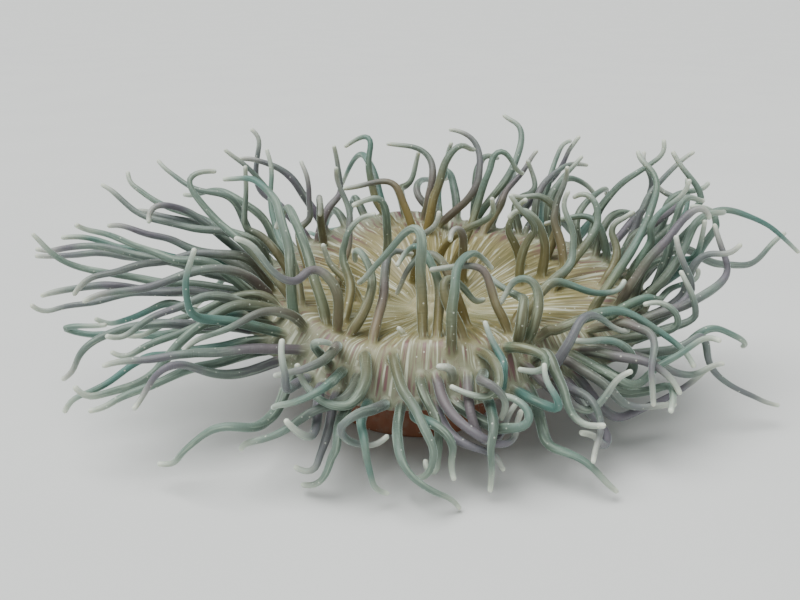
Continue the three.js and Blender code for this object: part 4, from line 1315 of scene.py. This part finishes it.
    def soften_roots(self, skin: bpy.types.Object) -> None:
        """Rounds the crease where each tentacle leaves the disc.

        Args:
            skin: The skin, whose mesh is changed.
        """
        work = bmesh.new()
        work.from_mesh(skin.data)
        calm = skin.data.attributes["calm"].data
        near = [point for point, known in zip(work.verts, calm) if known.value < self.settled]
        for _ in range(self.crease_rounds):
            bmesh.ops.smooth_vert(work, verts=near, factor=self.crease_factor, use_axis_x=True,
                                  use_axis_y=True, use_axis_z=True)
        work.to_mesh(skin.data)
        work.free()


# ---- finishes ---------------------------------------------------------------------------------


def linear(code: str) -> tuple[float, float, float, float]:
    """Turns an sRGB hex code into linear colour."""
    parts = [int(code[k:k + 2], 16) / 255 for k in (1, 3, 5)]
    return (*(c / 12.92 if c <= 0.04045 else ((c + 0.055) / 1.055) ** 2.4 for c in parts), 1.0)


def per_metre(size: float) -> float:
    """Turns the size of a pattern's cell in millimetres into cells to a metre."""
    return 1 / (size * MM)


def add(tree: bpy.types.NodeTree, kind: str, settings: dict, links: dict) -> bpy.types.Node:
    """Adds a node to a tree.

    Args:
        tree: The material's node tree.
        kind: The node's type.
        settings: Its own settings by name.
        links: For each input, by name or number, a socket to link or a value to set.

    Returns:
        The node.
    """
    node = tree.nodes.new(kind)
    for name, value in settings.items():
        setattr(node, name, value)
    for key, value in links.items():
        if isinstance(value, bpy.types.NodeSocket):
            tree.links.new(value, node.inputs[key])
        else:
            node.inputs[key].default_value = value
    return node


def fresh(name: str) -> bpy.types.Material:
    """Makes a material with an empty node tree.

    Args:
        name: The material's name.

    Returns:
        The material.
    """
    material = bpy.data.materials.new(name)
    material.use_nodes = True
    material.node_tree.nodes.clear()
    return material


class Rise(Enum):
    """How a mask goes from one share to the other."""

    SOFT = "SMOOTHSTEP"
    EVEN = "LINEAR"


@dataclass(frozen=True)
class Mask:
    """How strongly a coat shows by something known about the flesh, between two marks."""

    known: str
    marks: tuple[float, float] = (0, 1)
    shares: tuple[float, float] = (0, 1)
    rise: Rise = Rise.SOFT


@dataclass(frozen=True)
class LivingSkin:
    """Living anemone flesh: a thin clear outer skin full of grey-green algae cells, wet and soft.

    The eye sees muted grey-green tubes with a soft satin gloss, lengthwise bands of mauve and
    teal, cream blunt tips, and a pale disc drawn with fine white lines from the mouth outward.
    The sizes of the patterns are in millimetres.
    """

    # Tentacle bases: partly their own darker colour, partly painted shade where the tentacles crowd
    # together.
    root_dark_and_painted_shade: str = "#525f55"
    middle: str = "#72857a"
    # Pale lengthwise bands on the tentacles: painted highlight.
    pale: str = "#a3b6a4"
    mauve: str = "#6f6674"
    teal: str = "#517f78"
    tip: str = "#e4ead9"
    gold: str = "#8d7c45"
    disc_tan: str = "#96926b"
    disc_line: str = "#d6dac3"
    disc_blue: str = "#8a978a"
    furrow_inner: str = "#6d6940"
    furrow_outer: str = "#80595f"
    column_top: str = "#6d6069"
    column_low: str = "#9c6448"
    wart: str = "#a89f92"
    lip: str = "#c2bb92"
    sheen: str = "#d3efe6"
    roughness: float = 0.4
    roughness_spread: tuple[float, float] = (-0.06, 0.1)
    gloss_bands: tuple[float, float] = (0.3, 0.7)
    ior: float = 1.38  # Flesh that is mostly water.
    subsurface: float = 0.22
    subsurface_depth: float = 3.0
    subsurface_colour: tuple[float, float, float] = (1.0, 0.8, 0.6)
    sheen_roughness: float = 0.22
    patch: float = 45.45  # Stretches of mauve or teal along a tentacle.
    speck_cell: float = 4.0  # One white speck, under a millimetre wide, to some of these cells.
    spot: float = 6.25  # Pale clouding on the column.
    grain: float = 1.111  # Single cells are far finer: it is drawn as coarse as it needs to show.
    wrinkle: float = 0.9091  # Fine folds across a tentacle.
    band_relief: float = 0.8
    grain_relief: float = 0.35
    bump_strength: float = 0.5
    bump_depth: float = 0.6

    def make(self) -> bpy.types.Material:
        """Makes the material from the skin's own numbers.

        Returns:
            The material.
        """
        material = fresh("living_anemone_skin")
        tree = material.node_tree
        known = self.knowledge(tree)
        colour = self.coat(tree, known, self.tube_colour(tree, known), self.disc_colour(tree, known),
                           Mask("disc", rise=Rise.EVEN))
        colour = self.coat(tree, known, colour, self.column_colour(tree, known),
                           Mask("column", rise=Rise.EVEN))
        for masks in ([Mask("tip", (3, 24), (0.5, 0))], [Mask("tip", (1, 6.5), (0.85, 0))],
                      [Mask("speck_reach", (0.09, 0.16), (1, 0)),
                       Mask("speck_chance", (0.5, 0.6), (0, 0.6))]):
            colour = self.coat(tree, known, colour, linear(self.tip), *masks)
        bump = add(tree, "ShaderNodeBump", {}, {
            "Strength": self.bump_strength, "Distance": self.bump_depth * MM,
            "Height": self.relief(tree, known)})
        least, most = self.roughness_spread
        gloss = add(tree, "ShaderNodeMapRange", {}, {
            "Value": known["bands"], "From Min": self.gloss_bands[0], "From Max": self.gloss_bands[1],
            "To Min": self.roughness + least, "To Max": self.roughness + most})
        shader = add(tree, "ShaderNodeBsdfPrincipled", {}, {
            "Base Color": colour, "Roughness": gloss.outputs[0], "IOR": self.ior,
            "Normal": bump.outputs[0], "Subsurface Weight": self.subsurface,
            "Subsurface Radius": self.subsurface_colour,
            "Subsurface Scale": self.subsurface_depth * MM, "Sheen Weight": 1.0,
            "Sheen Roughness": self.sheen_roughness, "Sheen Tint": linear(self.sheen)})
        add(tree, "ShaderNodeOutputMaterial", {}, {"Surface": shader.outputs[0]})
        return material

    def knowledge(self, tree: bpy.types.NodeTree) -> dict[str, bpy.types.NodeSocket]:
        """Gathers all that masks may go by: the skin's numbers and the patterns.

        Args:
            tree: The material's node tree.

        Returns:
            The sockets by name.
        """
        known = {name: add(tree, "ShaderNodeAttribute", {"attribute_name": name}, {}).outputs["Fac"]
                 for name in MeshBook.NUMBERS}
        streak = add(tree, "ShaderNodeAttribute", {"attribute_name": "streak"}, {}).outputs["Vector"]
        place = add(tree, "ShaderNodeTexCoord", {}, {}).outputs["Object"]
        wrinkled = add(tree, "ShaderNodeMath", {"operation": "MULTIPLY"}, {
            0: known["along"], 1: 1 / self.wrinkle})
        # The streaks' space has one cell to a band already, so its pattern needs no scale.
        for name, vector, scale, detail, roughness in (
                ("bands", streak, 1.0, 3.0, 0.6), ("patches", place, per_metre(self.patch), 2.0, 0.5),
                ("spots", place, per_metre(self.spot), 3.0, 0.5),
                ("grain", place, per_metre(self.grain), 2.0, 0.5)):
            known[name] = add(tree, "ShaderNodeTexNoise", {}, {
                "Vector": vector, "Scale": scale, "Detail": detail,
                "Roughness": roughness}).outputs["Fac"]
        across = add(tree, "ShaderNodeCombineXYZ", {}, {
            "X": known["bands"], "Y": known["tone"], "Z": wrinkled.outputs[0]})
        known["wrinkles"] = add(tree, "ShaderNodeTexNoise", {}, {
            "Vector": across.outputs[0], "Scale": 1.0, "Detail": 2.0}).outputs["Fac"]
        cells = add(tree, "ShaderNodeTexVoronoi", {}, {
            "Vector": place, "Scale": per_metre(self.speck_cell)})
        parts = add(tree, "ShaderNodeSeparateColor", {}, {"Color": cells.outputs["Color"]})
        known["speck_reach"], known["speck_chance"] = cells.outputs["Distance"], parts.outputs[0]
        return known

    def coat(self, tree: bpy.types.NodeTree, known: dict, under: object, over: object,
             *masks: Mask) -> bpy.types.NodeSocket:
        """Lays one colour over another, as strongly as its masks say together.

        Args:
            tree: The material's node tree.
            known: The sockets that masks go by.
            under: The colour beneath, as a socket or a linear colour.
            over: The colour on top.
            *masks: The masks.

        Returns:
            The colour that results.
        """
        share = None
        for mask in masks:
            part = add(tree, "ShaderNodeMapRange", {"interpolation_type": mask.rise.value}, {
                "Value": known[mask.known], "From Min": mask.marks[0], "From Max": mask.marks[1],
                "To Min": mask.shares[0], "To Max": mask.shares[1]}).outputs[0]
            share = part if share is None else add(
                tree, "ShaderNodeMath", {"operation": "MULTIPLY"}, {0: share, 1: part}).outputs[0]
        return add(tree, "ShaderNodeMix", {"data_type": "RGBA"}, {
            0: share, 6: under, 7: over}).outputs[2]

    def tube_colour(self, tree: bpy.types.NodeTree, known: dict) -> bpy.types.NodeSocket:
        """Colours the tentacles grey-green, paler outward, with mauve, teal and golden stretches.

        The dark root colour is partly their own and partly painted shade where they crowd, and the
        pale lengthwise bands are painted highlight.

        Args:
            tree: The material's node tree.
            known: The sockets that masks go by.

        Returns:
            The colour.
        """
        # The root colour is partly painted shade. It gives way to the middle colour from 6 to 70 mm
        # along.
        colour = linear(self.root_dark_and_painted_shade)
        for code, *masks in (
                (self.middle, Mask("along", (6, 70))),
                # Painted highlight: pale lengthwise bands.
                (self.pale, Mask("bands", (0.48, 0.72), (0, 0.85))),
                (self.mauve, Mask("tone", (0.45, 0.75), (0, 0.8)),
                 Mask("patches", (0.4, 0.6), (0.2, 1))),
                (self.teal, Mask("tone", (0.42, 0.12)), Mask("patches", (0.6, 0.4)),
                 Mask("ring", (0.6, 0.9), (0.25, 0.75))),
                (self.gold, Mask("gold", shares=(0, 0.85), rise=Rise.EVEN))):
            colour = self.coat(tree, known, colour, linear(code), *masks)
        return colour

    def disc_colour(self, tree: bpy.types.NodeTree, known: dict) -> bpy.types.NodeSocket:
        """Colours the disc tan, bluer towards its edge, with pale lines and brown furrows.

        Args:
            tree: The material's node tree.
            known: The sockets that masks go by.

        Returns:
            The colour.
        """
        clear = Mask("calm", rise=Rise.EVEN)
        dark = self.coat(tree, known, linear(self.furrow_inner), linear(self.furrow_outer),
                         Mask("ring", (0.6, 0.85)))
        colour = linear(self.disc_tan)
        for over, *masks in (
                (linear(self.disc_blue), Mask("ring", (0.6, 1.0), (0, 0.6))),
                (linear(self.gold), Mask("gold", shares=(0, 0.45), rise=Rise.EVEN)),
                (dark, Mask("bands", (0.5, 0.38), (0, 0.85)), clear),
                (linear(self.disc_line), Mask("bands", (0.53, 0.64), (0, 0.85)), clear),
                (linear(self.lip), Mask("ring", (0.1, 0.24), (0.8, 0)))):
            colour = self.coat(tree, known, colour, over, *masks)
        return colour

    def column_colour(self, tree: bpy.types.NodeTree, known: dict) -> bpy.types.NodeSocket:
        """Colours the column purple-grey above and dull orange-brown towards the foot.

        Args:
            tree: The material's node tree.
            known: The sockets that masks go by.

        Returns:
            The colour.
        """
        colour = linear(self.column_top)
        for code, mask in ((self.column_low, Mask("low", (0.35, 0.85))),
                           (self.wart, Mask("spots", (0.5, 0.75), (0, 0.3))),
                           (self.wart, Mask("wart", shares=(0, 0.8), rise=Rise.EVEN))):
            colour = self.coat(tree, known, colour, linear(code), mask)
        return colour

    def relief(self, tree: bpy.types.NodeTree, known: dict) -> bpy.types.NodeSocket:
        """Makes the height of the fine wrinkles round the tentacles and of the grain all over.

        Args:
            tree: The material's node tree.
            known: The patterns' sockets.

        Returns:
            The height, as a share of the bump's depth.
        """
        lines = add(tree, "ShaderNodeMath", {"operation": "MULTIPLY_ADD"}, {
            0: known["bands"], 1: self.band_relief, 2: known["wrinkles"]})
        calmed = add(tree, "ShaderNodeMath", {"operation": "MULTIPLY"}, {
            0: lines.outputs[0], 1: known["calm"]})
        return add(tree, "ShaderNodeMath", {"operation": "MULTIPLY_ADD"}, {
            0: known["grain"], 1: self.grain_relief, 2: calmed.outputs[0]}).outputs[0]


@dataclass(frozen=True)
class MattPlaster:
    """Trowelled plaster under matt paint: an even pale ground with the faintest mottle."""

    light: str = "#e4e6e3"
    shade: str = "#dcdedc"
    roughness: float = 0.85
    mottle: float = 166.7  # Millimetres: a trowel's width.

    def make(self) -> bpy.types.Material:
        """Makes the floor's material.

        Returns:
            The material.
        """
        material = fresh("matt_plaster")
        tree = material.node_tree
        place = add(tree, "ShaderNodeTexCoord", {}, {}).outputs["Object"]
        mottle = add(tree, "ShaderNodeTexNoise", {}, {
            "Vector": place, "Scale": per_metre(self.mottle), "Detail": 4.0})
        colour = add(tree, "ShaderNodeMix", {"data_type": "RGBA"}, {
            0: mottle.outputs["Fac"], 6: linear(self.light), 7: linear(self.shade)})
        shader = add(tree, "ShaderNodeBsdfPrincipled", {}, {
            "Base Color": colour.outputs[2], "Roughness": self.roughness})
        add(tree, "ShaderNodeOutputMaterial", {}, {"Surface": shader.outputs[0]})
        return material


# ---- the studio -------------------------------------------------------------------------------


class LampKind(Enum):
    """The kinds of lamp in the studio."""

    SKY = "SUN"
    PANEL = "AREA"


@dataclass(frozen=True)
class Lamp:
    """A soft lamp, whose breadth is in degrees for a sky and in metres for a panel.

    Its place is in metres and its lean in radians.
    """

    name: str
    kind: LampKind
    energy: float
    breadth: float
    at: tuple[float, float, float]
    lean: tuple[float, float, float]

    def hang(self) -> None:
        """Hangs the lamp in its place."""
        light = bpy.data.lights.new(self.name, self.kind.value)
        light.energy = self.energy
        if self.kind is LampKind.SKY:
            light.angle = math.radians(self.breadth)
        else:
            light.size = self.breadth
        thing = bpy.data.objects.new(self.name, light)
        thing.location = self.at
        thing.rotation_euler = self.lean
        bpy.context.collection.objects.link(thing)


@dataclass(frozen=True)
class Studio:
    """The floor, the lamps, the air and the camera.

    Places are in metres, the camera's tilt is in degrees, and its lens and sensor are in
    millimetres.
    """

    floor_size: float = 40.0
    camera_at: tuple[float, float, float] = (-0.0095, -0.545, 0.2684)
    camera_tilt: float = 70.0
    lens: float = 40.5
    sensor: float = 36.0
    clip: tuple[float, float] = (0.01, 100.0)
    lamps: tuple[Lamp, ...] = (
        Lamp("ceiling", LampKind.SKY, energy=4.3, breadth=50.0, at=(0.0, 0.0, 2.0),
             lean=(0.1, -0.3, 0.0)),
        Lamp("front", LampKind.PANEL, energy=3.0, breadth=1.2, at=(0.5, -1.4, 0.9),
             lean=(1.0, 0.0, 0.35)))
    air: str = "#e4eaea"
    air_strength: float = 0.34

    def place_camera(self) -> None:
        """Places the camera."""
        lens = bpy.data.cameras.new("camera")
        lens.lens = self.lens
        lens.sensor_width = self.sensor
        lens.clip_start, lens.clip_end = self.clip
        camera = bpy.data.objects.new("camera", lens)
        camera.location = self.camera_at
        camera.rotation_euler = (math.radians(self.camera_tilt), 0, 0)
        bpy.context.collection.objects.link(camera)
        bpy.context.scene.camera = camera

    def lay_floor(self) -> None:
        """Lays the pale floor under the foot."""
        half = self.floor_size / 2
        mesh = bpy.data.meshes.new("floor")
        mesh.from_pydata([(-half, -half, 0), (half, -half, 0), (half, half, 0), (-half, half, 0)],
                         [], [(0, 1, 2, 3)])
        floor = bpy.data.objects.new("floor", mesh)
        bpy.context.collection.objects.link(floor)
        floor.data.materials.append(MattPlaster().make())

    def fill_air(self) -> None:
        """Sets the pale light that comes from all round."""
        world = bpy.data.worlds.new("air")
        world.use_nodes = True
        ground = world.node_tree.nodes["Background"]
        ground.inputs[0].default_value = linear(self.air)
        ground.inputs[1].default_value = self.air_strength
        bpy.context.scene.world = world

    def set_up(self) -> None:
        """Sets up the whole studio."""
        self.place_camera()
        self.lay_floor()
        for lamp in self.lamps:
            lamp.hang()
        self.fill_air()


def main() -> None:
    """Builds the animal and its studio, piece by piece."""
    logging.basicConfig(level=logging.INFO, format="%(message)s")
    studio = Studio()
    studio.set_up()
    LOG.info("studio: camera, floor and %d lamps", len(studio.lamps))
    reader, settler, shape = TentacleReader(), TentacleSettler(), BodyShape()
    tentacles = []
    for name in sorted(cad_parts):
        if name.startswith(("disc_sector", "rim_sector")):
            tentacles += reader.read(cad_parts[name])
    chance = np.random.default_rng(SEED + 1)
    for tentacle in tentacles:
        settler.draw(tentacle, shape, chance)
    deepest = settler.settle(tentacles, shape)
    LOG.info("tentacles: %d read, deepest overlap %.2f mm", len(tentacles), deepest)
    skin = AnemoneSkin().build(tentacles)
    skin.data.materials.append(LivingSkin().make())
    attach(skin, BODY)
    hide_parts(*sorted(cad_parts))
    LOG.info("skin: %d points, %d faces", len(skin.data.vertices), len(skin.data.polygons))


if __name__ == "__main__":
    main()
